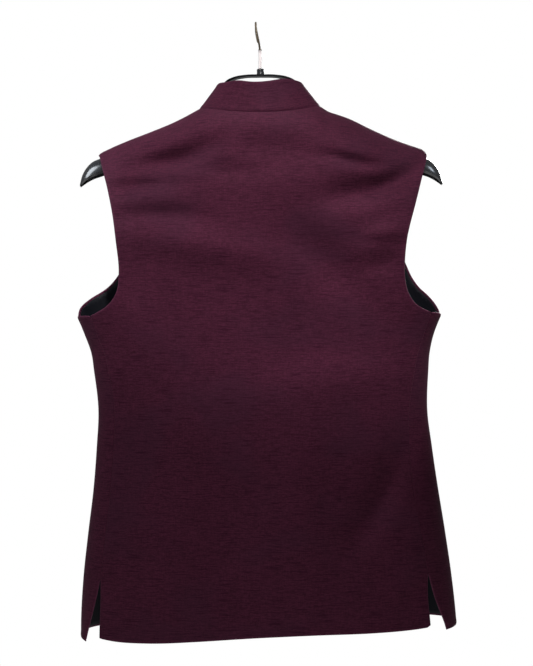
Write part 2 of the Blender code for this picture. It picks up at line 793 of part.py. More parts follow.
def add_hanger_body(parent):
    """Crescent sections from tip to tip, joined by quads and closed at both tips."""
    rows = [(-reach, *rest) for reach, *rest in HANGER[:0:-1]] + list(HANGER)
    sections = [hanger_section(*row) for row in rows]
    count = len(sections[0])
    quads = []
    for i in range(len(sections) - 1):
        for j in range(count):
            k = (j + 1) % count
            quads.append((i * count + j, (i + 1) * count + j, (i + 1) * count + k, i * count + k))
    caps = []
    for base, flip in ((0, -1), (len(sections) - 1, 1)):
        arc = range(HANGER_ARC_STEPS)
        ring = [(j, j + 1, count - 2 - j, count - 1 - j) for j in arc]
        caps += [tuple(base * count + n for n in quad[::-flip]) for quad in ring]
    mesh = bpy.data.meshes.new("hanger_body")
    mesh.from_pydata(np.concatenate(sections).tolist(), [], quads + caps)
    mesh.shade_smooth()
    mesh.set_sharp_from_angle(angle=SHARP_ANGLE)
    add("hanger_body", mesh, "plastic", parent)


def add_hook(parent):
    """One wire: a straight stem, a turn towards the back, and most of a circle over the rail."""
    radius = HOOK_INNER_RADIUS + HOOK_WIRE
    centre = Vector((0, 0, -HOOK_INNER_RADIUS))

    def on_circle(angle):
        return centre + radius * Vector((0, math.cos(angle), math.sin(angle)))

    stem_foot = Vector((0, 0, ARCH_TOP_Z + 2 * SEAM_GAP))
    stem_top = Vector((0, 0, STEM_TOP_Z))
    start = on_circle(HOOK_START)
    tangent = Vector((0, -math.sin(HOOK_START), math.cos(HOOK_START)))
    reach = (start - stem_top).length * BEND_SHARE
    handles = (stem_top + Vector((0, 0, reach)), start - tangent * reach)
    bend = interpolate_bezier(stem_top, *handles, start, BEND_STEPS)
    arc = [on_circle(a) for a in np.linspace(HOOK_START, HOOK_END, ARC_STEPS)[1:]]
    path = [stem_foot, stem_foot.lerp(stem_top, STEM_STEP), *bend, *arc]
    curve = bpy.data.curves.new("hanger_hook", "CURVE")
    curve.dimensions = "3D"
    curve.bevel_depth = 1
    curve.bevel_resolution = 3
    curve.use_fill_caps = True
    spline = curve.splines.new("POLY")
    spline.points.add(len(path) - 1)
    for point, place in zip(spline.points, path, strict=True):
        lean = HOOK_LEAN * smooth_step((place.z - LEAN_STARTS_Z) / (LEAN_ENDS_Z - LEAN_STARTS_Z))
        point.co = (HANGER_SHIFT + lean, place.y, place.z, 1)
        taper = smooth_step((place.z - STEM_TOP_Z) / TAPER_LENGTH)
        point.radius = STEM_WIRE + (HOOK_WIRE - STEM_WIRE) * taper
    add("hanger_hook", curve, "chrome", parent)


def add_hanger():
    tilt = bpy.data.objects.new("hanger_tilt", None)
    tilt.parent = hanging_axis
    tilt.location.x = HANGER_SHIFT
    tilt.rotation_euler.y = HANGER_TILT
    bpy.context.collection.objects.link(tilt)
    add_hanger_body(tilt)
    add_ferrule(tilt)
    add_hook(hanging_axis)


add_panel("back_panel", BACK, back_outline())
for front_name, front_side in (("front_left", LEFT), ("front_right", RIGHT)):
    cut = front_outline(front_side)
    lining_cut = moved_in(clipped(cut, front_side, LINING_FRONT_EDGE), LINING_INSET)
    add_panel(front_name, FRONT, cut, lining_cut)
add_collar()
add_buttons()
add_hanger()
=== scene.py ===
# %% [markdown]
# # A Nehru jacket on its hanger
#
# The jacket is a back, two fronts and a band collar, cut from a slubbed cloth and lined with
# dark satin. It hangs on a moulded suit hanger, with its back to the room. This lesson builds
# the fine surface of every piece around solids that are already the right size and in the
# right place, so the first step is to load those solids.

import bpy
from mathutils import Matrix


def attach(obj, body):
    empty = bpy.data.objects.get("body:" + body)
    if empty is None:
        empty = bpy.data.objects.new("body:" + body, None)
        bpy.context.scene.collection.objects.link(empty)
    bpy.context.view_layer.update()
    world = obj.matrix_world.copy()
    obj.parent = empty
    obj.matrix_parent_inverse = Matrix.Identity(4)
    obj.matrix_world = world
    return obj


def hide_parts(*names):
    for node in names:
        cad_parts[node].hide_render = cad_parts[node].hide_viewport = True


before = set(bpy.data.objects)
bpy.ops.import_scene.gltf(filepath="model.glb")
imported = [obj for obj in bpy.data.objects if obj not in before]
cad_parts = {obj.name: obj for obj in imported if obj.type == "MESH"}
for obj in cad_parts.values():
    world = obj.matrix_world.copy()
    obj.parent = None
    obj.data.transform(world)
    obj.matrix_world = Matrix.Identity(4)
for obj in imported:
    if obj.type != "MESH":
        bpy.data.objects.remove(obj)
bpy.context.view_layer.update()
print("solids:", ", ".join(sorted(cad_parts)))

# %% [markdown]
# Blender's own modules come next. `numpy` moves whole sets of points at once, which keeps a
# mesh of tens of thousands of points quick to make. All lengths here are in metres, the front
# of the jacket faces -Y and the wearer's left is +X.

# %% Modules and directions
import math

import bpy
import numpy as np
from mathutils import Quaternion, Vector
from mathutils.geometry import delaunay_2d_cdt, interpolate_bezier

FRONT, BACK = -1, 1
LEFT, RIGHT = 1, -1
HOOK_LEAN = 0.0056
HANGER_SHIFT = 0.0010
AXIS_X = -HOOK_LEAN - HANGER_SHIFT
print("the jacket's centre line is at x =", round(AXIS_X, 4), "m, under the hook")

# %% [markdown]
# ## The form that the cloth lies on
#
# A hung jacket is not flat: its sides turn round, its chest stays a little open and its
# shoulders roll over the hanger. A tailor would pad a stand to that shape. Here the stand is a
# formula. Tables give its width, its depth and its shoulder line at a few heights, as a tailor's
# measurements would, and `eased` draws a smooth curve through a column of a table.

# %% Curves through a few measurements
def eased(rows, column, at):
    """A smooth curve through one column of a table, against its first column."""
    table = np.array(rows)
    table = table[np.argsort(table[:, 0])]
    x, y = table[:, 0], table[:, column]
    slope = np.gradient(y, x)
    at = np.clip(at, x[0], x[-1])
    i = np.clip(np.searchsorted(x, at) - 1, 0, len(x) - 2)
    width = x[i + 1] - x[i]
    t = (at - x[i]) / width
    level = y[i] * (1 + 2 * t) * (1 - t) ** 2 + y[i + 1] * t**2 * (3 - 2 * t)
    return level + width * (slope[i] * t * (1 - t) ** 2 - slope[i + 1] * t**2 * (1 - t))


def smooth_step(t):
    t = np.clip(t, 0, 1)
    return t * t * (3 - 2 * t)


def through(points, step):
    """A smooth curve through points, as points about one step apart."""
    points = np.array(points, dtype=float)
    lengths = np.linalg.norm(np.diff(points, axis=0), axis=1)
    rows = np.column_stack([np.concatenate([[0], np.cumsum(lengths)]), points])
    at = np.linspace(0, rows[-1, 0], max(2, round(rows[-1, 0] / step) + 1))
    return np.stack([eased(rows, 1, at), eased(rows, 2, at)], axis=-1)


print("halfway up a smooth step:", smooth_step(0.5))

# %% [markdown]
# These are the tailor's measurements. The heights run down from the top of the hook, and the
# two sides have their own columns because a hung jacket never falls quite evenly.

# %% Measurements of the form
ROUNDNESS = 2.8
QUARTER_ROUND = 0.262
SHOULDER_DROP = 0.065
SHOULDER_ROUND = 0.0945
SHOULDER_REACH = 0.205
SHOULDERS_FORWARD = 0.022
FORWARD_FADES_BY = 0.22

# height, half-width on the left, half-width on the right
SIDES = (
    (-0.150, 0.2360, 0.2340),
    (-0.367, 0.2345, 0.2288),
    (-0.395, 0.2230, 0.2183),
    (-0.417, 0.2150, 0.2135),
    (-0.440, 0.2115, 0.2118),
    (-0.490, 0.2060, 0.2108),
    (-0.535, 0.2080, 0.2165),
    (-0.590, 0.2122, 0.2245),
    (-0.645, 0.2188, 0.2335),
    (-0.700, 0.2247, 0.2415),
    (-0.755, 0.2278, 0.2473),
    (-0.790, 0.2278, 0.2490),
)
# height, depth of the back, depth of the front
DEPTHS = (
    (-0.060, 0.052, 0.050),
    (-0.115, 0.058, 0.056),
    (-0.172, 0.066, 0.060),
    (-0.250, 0.075, 0.072),
    (-0.367, 0.073, 0.075),
    (-0.500, 0.061, 0.066),
    (-0.640, 0.065, 0.067),
    (-0.790, 0.070, 0.070),
)
# distance out from the centre, height of the shoulder on the left, height on the right
SHOULDER = (
    (0.000, -0.0920, -0.0920),
    (0.040, -0.0963, -0.0953),
    (0.076, -0.1068, -0.1052),
    (0.085, -0.1116, -0.1108),
    (0.096, -0.1175, -0.1144),
    (0.110, -0.1242, -0.1190),
    (0.141, -0.1364, -0.1331),
    (0.172, -0.1476, -0.1459),
    (0.194, -0.1565, -0.1530),
    (0.203, -0.1608, -0.1556),
    (0.208, -0.1645, -0.1582),
    (0.211, -0.1690, -0.1612),
    (0.215, -0.1745, -0.1660),
    (0.243, -0.1970, -0.1920),
)
CHEST_ROW = 1
CHEST_DEPTH_ROW = 4
print("form:", len(SIDES), "widths,", len(DEPTHS), "depths,", len(SHOULDER), "shoulder points")

# %% [markdown]
# ## Folds
#
# The jacket hangs on something narrower and harder than the shoulders it was cut for, so the
# spare cloth between the neck and the armholes falls into shallow rolls, and the skirt swings
# into a few long, faint ones. They could come from a cloth simulation, but a simulation puts
# them where it likes. Here each one is listed: where it is, how long and how wide, how
# it slopes and bends, and how deep it is. No two are alike. A negative depth is a trough.

# %% Folds of the back and the fronts
# face, centre along x, centre height, half-length, half-width, slope in degrees, bend, depth
FOLDS = (
    (BACK, 0.112, -0.179, 0.054, 0.0150, -13, 0.12, -0.0165),
    (BACK, 0.146, -0.209, 0.046, 0.0105, -2, 0.00, -0.0100),
    (BACK, 0.124, -0.246, 0.048, 0.0110, 1, -0.05, -0.0066),
    (BACK, 0.080, -0.286, 0.090, 0.0200, 10, 0.00, 0.0076),
    (BACK, 0.155, -0.335, 0.040, 0.0260, 60, 0.00, -0.0030),
    (BACK, -0.015, -0.162, 0.064, 0.0240, 2, 0.00, -0.0058),
    (BACK, 0.045, -0.192, 0.060, 0.0120, 5, 0.10, -0.0030),
    (BACK, -0.122, -0.181, 0.030, 0.0070, 9, 0.10, -0.0080),
    (BACK, -0.170, -0.200, 0.046, 0.0130, -30, 0.14, -0.0125),
    (BACK, -0.118, -0.218, 0.046, 0.0170, -12, 0.00, -0.0080),
    (BACK, -0.158, -0.270, 0.032, 0.0150, -25, 0.00, 0.0056),
    (BACK, -0.088, -0.174, 0.024, 0.0070, 4, 0.00, -0.0024),
    (BACK, -0.150, -0.280, 0.034, 0.0065, 0, 0.00, -0.0022),
    (BACK, -0.145, -0.308, 0.026, 0.0120, -12, 0.10, -0.0036),
    (BACK, -0.076, -0.300, 0.070, 0.0280, 42, 0.00, -0.0095),
    (BACK, -0.078, -0.460, 0.105, 0.0370, -8, 0.00, 0.0084),
    (BACK, -0.150, -0.597, 0.078, 0.0210, -61, 0.10, -0.0125),
    (BACK, -0.195, -0.660, 0.070, 0.0200, -66, 0.00, 0.0034),
    (BACK, 0.150, -0.520, 0.120, 0.0350, 80, 0.10, -0.0040),
    (BACK, 0.045, -0.640, 0.100, 0.0380, 86, -0.06, -0.0040),
    (BACK, 0.115, -0.690, 0.080, 0.0320, 96, 0.00, 0.0030),
    (BACK, -0.050, -0.600, 0.120, 0.0360, 94, 0.05, 0.0036),
    (FRONT, 0.120, -0.240, 0.070, 0.0200, -17, 0.00, -0.0058),
    (FRONT, -0.120, -0.245, 0.070, 0.0210, 17, 0.00, -0.0062),
    (FRONT, 0.135, -0.200, 0.055, 0.0100, -10, 0.10, -0.0050),
    (FRONT, -0.128, -0.196, 0.060, 0.0110, 12, 0.00, -0.0058),
    (FRONT, 0.105, -0.290, 0.060, 0.0140, -24, 0.10, -0.0046),
    (FRONT, 0.090, -0.340, 0.070, 0.0200, 62, 0.10, -0.0044),
    (FRONT, -0.095, -0.345, 0.060, 0.0200, -56, 0.00, -0.0048),
    (FRONT, 0.110, -0.560, 0.120, 0.0300, 82, 0.10, -0.0064),
    (FRONT, -0.120, -0.600, 0.110, 0.0280, -78, 0.00, -0.0066),
    (FRONT, 0.050, -0.660, 0.080, 0.0300, 96, 0.00, 0.0022),
    (FRONT, -0.050, -0.620, 0.090, 0.0320, 88, 0.06, 0.0024),
)


def relief(face, x, z):
    """How far the folds push the cloth out of the form."""
    total = np.zeros_like(x)
    for fold_face, at_x, at_z, long, wide, slope, bend, depth_out in FOLDS:
        turn = math.radians(slope)
        along = ((x - at_x) * math.cos(turn) + (z - at_z) * math.sin(turn)) / long
        across = ((z - at_z) * math.cos(turn) - (x - at_x) * math.sin(turn)) / wide
        across = across - bend * long / wide * along**2
        total += (fold_face == face) * depth_out * np.exp(-(along**2) - across**2)
    return total


back_folds = sum(fold[0] == BACK for fold in FOLDS)
print("folds:", back_folds, "back,", len(FOLDS) - back_folds, "front")

# %% [markdown]
# `form` turns two measures into a place: `around`, the distance round the body from the centre
# line of one face, and `height`, unrolled where the cloth turns over the shoulder. They are
# the measures of a flat paper pattern, so a pattern piece can be drawn in them, filled with
# triangles and then set on the body. `laid` goes the other way.

# %% The rounded section and the shoulder line
SECTION_SAMPLES = 4001


def section_quarter():
    """Across and deep, for a quarter of the rounded section, by its share of the way round."""
    angle = np.linspace(0, math.pi / 2, SECTION_SAMPLES)
    across = np.sin(angle) ** (2 / ROUNDNESS)
    deep = np.cos(angle) ** (2 / ROUNDNESS)
    chest_width, chest_depth = SIDES[CHEST_ROW][1], DEPTHS[CHEST_DEPTH_ROW][1]
    step = np.hypot(np.diff(across) * chest_width, np.diff(deep) * chest_depth)
    share = np.concatenate([[0], np.cumsum(step)])
    return share / share[-1], across, deep


SHARE, ACROSS, DEEP = section_quarter()


def half_width(z, side):
    return np.where(side > 0, eased(SIDES, 1, z), eased(SIDES, 2, z))


def depth(z, face):
    return np.where(face > 0, eased(DEPTHS, 1, z), eased(DEPTHS, 2, z))


def ridge(x):
    """Height of the shoulder line, which the neck hole cuts off in the middle."""
    return np.where(x > 0, eased(SHOULDER, 1, abs(x)), eased(SHOULDER, 2, abs(x)))


def forward(x):
    """How far the shoulders are carried forward by the hanger's curve."""
    return SHOULDERS_FORWARD * (abs(x) / SHOULDER_REACH) ** 2


print("round the chest:", round(4 * QUARTER_ROUND, 3), "m")

# %% [markdown]
# With those curves the pattern can be wrapped on. A place near the top of the pattern turns
# over the shoulder on a quarter of an oval before it falls straight, and the folds push the
# cloth out or in along the way. Small steps in both measures give the direction out of it.

# %% From the pattern to the body
NORMAL_STEP = 0.0004


def form(face, around, height):
    """Points of the form. `around` past the side comes out on the other face."""
    around, height = np.broadcast_arrays(np.float64(around), np.float64(height))
    side = np.where(around < 0, RIGHT, LEFT)
    share = abs(around) / QUARTER_ROUND
    past = share > 1
    share = np.where(past, 2 - share, share)
    here = np.where(past, -face, face)
    x = side * half_width(height, side) * np.interp(share, SHARE, ACROSS)
    fallen = ridge(x) + SHOULDER_ROUND - SHOULDER_DROP - height
    turn = np.minimum(fallen / SHOULDER_ROUND, 1) * math.pi / 2
    turned = SHOULDER_DROP * (1 - np.cos(turn))
    down = turned + np.maximum(fallen - SHOULDER_ROUND, 0)
    z = ridge(x) - down
    y = here * depth(z, here) * np.sin(turn) * np.interp(share, SHARE, DEEP)
    y -= forward(x) * (1 - smooth_step(down / FORWARD_FADES_BY))
    y += here * relief(here, x, z) * np.sin(turn)
    return np.stack([x + AXIS_X, y, z], axis=-1)


def laid(x, z, past=False):
    """The pattern's two measures of points at x and z, on this face or past the side."""
    x, z = np.broadcast_arrays(np.float64(x), np.float64(z))
    down = np.maximum(ridge(x) - z, 0)
    turn = np.arccos(np.clip(1 - down / SHOULDER_DROP, 0, 1)) / (math.pi / 2)
    fallen = turn * SHOULDER_ROUND + np.maximum(down - SHOULDER_DROP, 0)
    height = ridge(x) + SHOULDER_ROUND - SHOULDER_DROP - fallen
    side = np.where(x < 0, RIGHT, LEFT)
    share = np.interp(np.clip(abs(x) / half_width(height, side), 0, 1), ACROSS, SHARE)
    share = np.where(past, 2 - share, share)
    return np.stack([side * share * QUARTER_ROUND, height], axis=-1)


def normals(place, face, around, height):
    """Outward normals, from small steps along both measures."""
    along = place(around + NORMAL_STEP, height) - place(around - NORMAL_STEP, height)
    up = place(around, height + NORMAL_STEP) - place(around, height - NORMAL_STEP)
    normal = -face * np.cross(along, up)
    return normal / np.linalg.norm(normal, axis=-1, keepdims=True)


print("the middle of the back at height -0.4:", form(BACK, 0.0, -0.4).round(3))

# %% [markdown]
# ## The pattern pieces
#
# Each outline is a closed loop of points in the two measures, anticlockwise: hem, vent, side
# seam, armhole, shoulder and neck. The back and the fronts share one side seam, so their edges
# meet exactly, and each piece is then drawn in by half of a small seam gap. Below the side seam
# the back and the front part company: that is the side vent, and the front's edge swings out.

# %% Edges as a pattern cutter would give them
PATTERN_STEP = 0.0045

# height, half-width of the side seam, which is the back's vent edge below the top of the vent
SIDE_SEAM = {
    LEFT: (
        (-0.7715, 0.2010),
        (-0.7220, 0.1995),
        (-0.6980, 0.1997),
        (-0.6400, 0.1930),
        (-0.5920, 0.1880),
        (-0.5300, 0.1835),
        (-0.4800, 0.1835),
        (-0.4300, 0.1920),
        (-0.3950, 0.2040),
        (-0.3710, 0.2120),
    ),
    RIGHT: (
        (-0.7550, 0.2110),
        (-0.7180, 0.2076),
        (-0.6910, 0.2078),
        (-0.6350, 0.1980),
        (-0.5880, 0.1900),
        (-0.5300, 0.1850),
        (-0.4800, 0.1855),
        (-0.4300, 0.1930),
        (-0.3950, 0.2030),
        (-0.3662, 0.2120),
    ),
}
print("side seams:", [len(rows) for rows in SIDE_SEAM.values()], "rows")

# %% [markdown]
# Higher up, the fronts are cut in further than the back, because an arm reaches forward. Near
# the underarm it is the other way round, so a crescent of the front's lining shows from behind.

# %% Armholes
# height, half-width of the armhole on the back face, from above the side seam up
BACK_ARMHOLE = {
    LEFT: (
        (-0.3665, 0.2030),
        (-0.3600, 0.1920),
        (-0.3500, 0.1825),
        (-0.3385, 0.1774),
        (-0.3190, 0.1756),
        (-0.2780, 0.1796),
        (-0.2230, 0.1894),
        (-0.1980, 0.1962),
        (-0.1830, 0.2010),
    ),
    RIGHT: (
        (-0.3620, 0.2020),
        (-0.3560, 0.1920),
        (-0.3440, 0.1832),
        (-0.3245, 0.1781),
        (-0.3000, 0.1784),
        (-0.2780, 0.1809),
        (-0.2270, 0.1942),
        (-0.1920, 0.2042),
        (-0.1800, 0.2085),
    ),
}
# the same on the front face, from the outermost point at the side up
FRONT_ARMHOLE = {
    LEFT: (
        (-0.3670, 0.2340),
        (-0.3616, 0.2338),
        (-0.3546, 0.2294),
        (-0.3455, 0.2186),
        (-0.3393, 0.2088),
        (-0.3324, 0.2000),
        (-0.3144, 0.1860),
        (-0.2800, 0.1735),
        (-0.2450, 0.1730),
        (-0.2100, 0.1830),
        (-0.1850, 0.1950),
    ),
    RIGHT: (
        (-0.3650, 0.2288),
        (-0.3600, 0.2278),
        (-0.3509, 0.2230),
        (-0.3432, 0.2168),
        (-0.3326, 0.2061),
        (-0.3206, 0.1980),
        (-0.3041, 0.1906),
        (-0.2750, 0.1800),
        (-0.2420, 0.1790),
        (-0.2080, 0.1870),
        (-0.1820, 0.2000),
    ),
}
print("armholes:", len(BACK_ARMHOLE[LEFT]), "rows behind,", len(FRONT_ARMHOLE[LEFT]), "in front")

# %% [markdown]
# The other edges need fewer numbers: the shoulder's tip, the top of each side vent, the overlap
# at the front, the hems and the ring of the neck.

# %% Shoulders, vents, hems and neck
SHOULDER_TIP = {LEFT: 0.2100, RIGHT: 0.2140}
TIP_ROUNDING = 0.010
ARMPIT_ROUNDING = 0.005
VENT_TOP = {LEFT: -0.6980, RIGHT: -0.6910}
# how far the front's vent edge stands out from the back's, at the hem
VENT_FLARE = {LEFT: 0.0190, RIGHT: 0.0210}
OVERLAP = 0.020
OVERLAP_DROP = 0.001
FRONT_CORNER_RADIUS = 0.022
# distance round the face from its centre towards the left, height of the hem
HEM_BACK = (
    (-0.220, -0.7547),
    (-0.180, -0.7590),
    (-0.125, -0.7622),
    (-0.060, -0.7640),
    (0.010, -0.7675),
    (0.080, -0.7720),
    (0.140, -0.7748),
    (0.180, -0.7745),
    (0.210, -0.7715),
)
HEM_FRONT = (
    (-0.305, -0.7625),
    (-0.275, -0.7595),
    (-0.250, -0.7580),
    (-0.200, -0.7580),
    (0.000, -0.7665),
    (0.200, -0.7705),
    (0.240, -0.7725),
    (0.300, -0.7785),
)
NECK_HALF_WIDTH = 0.0772
NECK_SHIFT = 0.0012
NECK_BACK_Z = -0.1178
NECK_FRONT_Z = -0.1722
NECK_STEPS = 36
print("neck:", round(2 * NECK_HALF_WIDTH, 3), "m across")

# %% [markdown]
# A cutter rounds the corners where two edges meet, with a short curve from one line into the
# other. The neck is a ring seen from above, lowest at the centre front.

# %% Turning corners, and the neck
def turned_corner(before, after, radius, steps=6):
    """Two lines that share an end, joined by a curved turn."""
    before, after = np.array(before, dtype=float), np.array(after, dtype=float)
    corner = after[0]
    before = before[np.linalg.norm(before - corner, axis=1) > radius]
    after = after[np.linalg.norm(after - corner, axis=1) > radius]
    start = corner + radius * (before[-1] - corner) / np.linalg.norm(before[-1] - corner)
    end = corner + radius * (after[0] - corner) / np.linalg.norm(after[0] - corner)
    t = np.linspace(0, 1, steps + 1)[:, None]
    turn = (1 - t) ** 2 * start + 2 * t * (1 - t) * corner + t**2 * end
    return np.concatenate([before, turn, after])


def neck_side(side):
    """Where the neck seam meets the shoulder."""
    return side * NECK_HALF_WIDTH + NECK_SHIFT


def neck_ring(theta):
    """x and z of the neck seam, theta from the centre back round to the centre front."""
    side_x = neck_side(np.where(theta < 0, RIGHT, LEFT))
    side_z = ridge(side_x)
    middle_z = np.where(np.cos(theta) > 0, NECK_BACK_Z, NECK_FRONT_Z)
    return side_x * abs(np.sin(theta)), side_z + (middle_z - side_z) * np.cos(theta) ** 2


def hem_line(hem, start, end):
    """A hem in the pattern's measures, between two places round it."""
    around = np.linspace(start, end, 1 + round(abs(end - start) / PATTERN_STEP))
    return np.stack([around, eased(hem, 1, around)], axis=-1)


def table_edge(rows, side, past=False):
    """A table's edge laid on the form."""
    height, reach = np.array(rows).T
    return laid(side * reach, height, past)


print("the neck seam meets the shoulders at", [round(neck_side(side), 4) for side in (LEFT, RIGHT)])

# %% [markdown]
# Now the edges are joined end to end. The back is one piece, so its outline is a left side, a
# right side and the hem between them.

# %% Outline of the back
def side_seam(side, past=False):
    """The seam above the vent, on the back or, past the side, on a front."""
    rows = [row for row in SIDE_SEAM[side] if row[0] >= VENT_TOP[side]]
    return through(table_edge(rows, side, past), PATTERN_STEP)


def upper_edge(seam, armhole_rows, side, theta):
    """From the seam's top up the armhole, over the shoulder's tip, then in and round the neck."""
    tip, neck = side * SHOULDER_TIP[side], neck_side(side)
    x = np.linspace(tip, neck, 1 + round(abs(tip - neck) / PATTERN_STEP))
    shoulder = laid(x, ridge(x))
    armhole = through([seam[-1], *table_edge(armhole_rows, side), shoulder[0]], PATTERN_STEP)
    edge = turned_corner(armhole, shoulder, TIP_ROUNDING)
    return np.concatenate([edge[:-1], laid(*neck_ring(side * theta))])


def back_side(side):
    """The back's edge on one side, from the hem up to the centre of the neck."""
    rows = [row for row in SIDE_SEAM[side] if row[0] <= VENT_TOP[side]]
    vent = through(table_edge(rows, side), PATTERN_STEP)
    seam = side_seam(side)
    theta = np.linspace(math.pi / 2, 0, NECK_STEPS + 1)
    upper = upper_edge(seam, BACK_ARMHOLE[side], side, theta)
    return np.concatenate([vent[:-1], seam[:-1], upper])


def back_outline():
    left, right = back_side(LEFT), back_side(RIGHT)
    hem = hem_line(HEM_BACK, right[0][0], left[0][0])
    return np.concatenate([hem[1:-1], left, right[-2::-1]])


outlines = {"back_panel": back_outline()}
print("back outline:", len(outlines["back_panel"]), "points")

# %% [markdown]
# Each front starts at its own buttoning edge, which reaches a little past the centre line. It
# goes round past the side of the body to the seam that it shares with the back, with a rounded
# corner at the foot, as a Nehru jacket has, and a vent that swings open below the seam.

# %% Outlines of the fronts
def front_outline(side):
    """A front's edge: foot, vent, side seam, armhole, shoulder, neck and buttoning edge."""
    seam = side_seam(side, past=True)
    hem_z = HEM_FRONT[-1 if side == LEFT else 0][1]
    vent_z = np.linspace(hem_z, VENT_TOP[side], 1 + round((VENT_TOP[side] - hem_z) / PATTERN_STEP))
    opened = (VENT_TOP[side] - vent_z) / (VENT_TOP[side] - hem_z)
    vent_x = eased(SIDE_SEAM[side], 1, vent_z) + VENT_FLARE[side] * opened
    vent = laid(side * vent_x, vent_z, past=True)
    theta = np.linspace(math.pi / 2, math.pi, NECK_STEPS + 1)
    upper = upper_edge(seam, FRONT_ARMHOLE[side], side, theta)
    rising = turned_corner(seam, upper, ARMPIT_ROUNDING)
    edge_x = -side * OVERLAP
    edge_top = laid(edge_x, NECK_FRONT_Z - OVERLAP_DROP)
    foot = laid(edge_x, eased(HEM_FRONT, 1, edge_x))
    edge = through([edge_top, foot], PATTERN_STEP)
    corner = turned_corner(edge, hem_line(HEM_FRONT, foot[0], vent[0][0]), FRONT_CORNER_RADIUS)
    outline = np.concatenate([corner[:-1], vent[:-1], rising])
    return outline if side == LEFT else outline[::-1]


for front_side, side_name in ((LEFT, "left"), (RIGHT, "right")):
    outlines[f"front_{side_name}"] = front_outline(front_side)
    print(side_name, "front outline:", len(outlines[f"front_{side_name}"]), "points")

# %% [markdown]
# A pattern piece becomes cloth in three moves. The outline is drawn in, once for the seam gap
# and again for the narrow bands that will round the edge over. The space inside is filled with
# near-equal triangles. Then each point gets a place on the body and two skins a cloth's
# thickness apart, which close together at the edge as a turned and pressed edge does.

# %% Drawing in, dividing and clipping an outline
# a drawn-in corner is no longer than this allows, and a point this near the edge is dropped
MITRE_LIMIT = 0.25
STAYS_SHARE = 0.99


def distance_to(points, loops):
    """Distance of each point to the nearest side of the loops."""
    nearest = np.full(len(points), np.inf)
    for loop in loops:
        for start, end in zip(loop, np.roll(loop, -1, axis=0), strict=True):
            along = end - start
            t = np.clip((points - start) @ along / (along @ along), 0, 1)
            gap = np.linalg.norm(points - start - t[:, None] * along, axis=1)
            nearest = np.minimum(nearest, gap)
    return nearest


def moved_in(outline, gap):
    """An anticlockwise outline drawn in by a gap, without the points that would fold over."""
    side = np.roll(outline, -1, axis=0) - outline
    inward = np.stack([-side[:, 1], side[:, 0]], axis=-1)
    inward /= np.linalg.norm(inward, axis=1, keepdims=True)
    before = np.roll(inward, 1, axis=0)
    spread = 1 + (inward * before).sum(axis=1, keepdims=True)
    moved = outline + gap * (inward + before) / np.maximum(spread, MITRE_LIMIT)
    return moved[distance_to(moved, [outline]) > STAYS_SHARE * gap]


def divided(outline, step):
    """The same outline with its long sides split."""
    points = []
    for start, end in zip(outline, np.roll(outline, -1, axis=0), strict=True):
        count = math.ceil(np.linalg.norm(end - start) / step)
        points += [start + (end - start) * i / count for i in range(count)]
    return np.array(points)


def clipped(outline, side, start):
    """The part of an outline at least `start` round towards one side."""
    kept = []
    for here, after in zip(outline, np.roll(outline, -1, axis=0), strict=True):
        a, b = side * here[0] - start, side * after[0] - start
        if a >= 0:
            kept.append(here)
        if a * b < 0:
            kept.append(here + (after - here) * a / (a - b))
    return np.array(kept)


square = np.array([(0, 0), (0.1, 0), (0.1, 0.1), (0, 0.1)])
print("a 10 cm square drawn in by 1 cm:", moved_in(square, 0.01).round(3).tolist())

# %% [markdown]
# The space inside is filled from rows of evenly spaced spots, each row shifted by half a step,
# so that nearly all triangles are equal sided and the cloth bends the same in every direction.
# Blender's Delaunay routine joins the spots and keeps every drawn line as an edge.

# %% Filling an outline with triangles
SPOT_CLEARANCE = 0.5
MERGE_DISTANCE = 1e-7


def inside(points, loops):
    """True where a point lies inside an odd number of the loops."""
    odd = np.zeros(len(points), dtype=bool)
    for loop in loops:
        for (x0, y0), (x1, y1) in zip(loop, np.roll(loop, -1, axis=0), strict=True):
            if y0 == y1:
                continue
            spans = (y0 > points[:, 1]) != (y1 > points[:, 1])
            odd ^= spans & (points[:, 0] < x0 + (points[:, 1] - y0) * (x1 - x0) / (y1 - y0))
    return odd


def filled(outline, step, drawn=(), holes=()):
    """Points and triangles that fill an outline, with any drawn loops kept as edges."""
    loops = [outline, *holes, *drawn]
    low, high = outline.min(axis=0), outline.max(axis=0)
    rows = np.arange(low[1], high[1], step * math.sqrt(0.75))
    spots = [
        (x, y)
        for i, y in enumerate(rows)
        for x in np.arange(low[0] + (i % 2) * step / 2, high[0], step)
    ]
    spots = np.array(spots)
    spots = spots[inside(spots, [outline, *holes])]
    spots = spots[distance_to(spots, loops) > SPOT_CLEARANCE * step]
    edges, count = [], 0
    for loop in loops:
        edges += [(count + i, count + (i + 1) % len(loop)) for i in range(len(loop))]
        count += len(loop)
    spread = [Vector(p) for p in np.concatenate([*loops, spots])]
    points, _, faces, *_ = delaunay_2d_cdt(spread, edges, [], 1, MERGE_DISTANCE)
    points = np.array([tuple(p) for p in points])
    faces = np.array([tuple(f) for f in faces])
    middle = points[faces].mean(axis=1)
    return points, faces[~inside(middle, holes)]


print("the same square in 1 cm steps:", len(filled(square, 0.01)[1]), "triangles")

# %% [markdown]
# A real cloth has two faces and an edge, so each piece is a closed wall: one skin outside, one
# inside, and a strip of quads round the rim. Each point remembers its two pattern measures as
# UVs, and how far it is from the edge, for the materials to read. `linked` puts a finished
# piece on the frame in place of its plain solid.

# %% Two skins into one closed piece
PATTERN_UV = "pattern"
EDGE_MASK = "edge_distance"


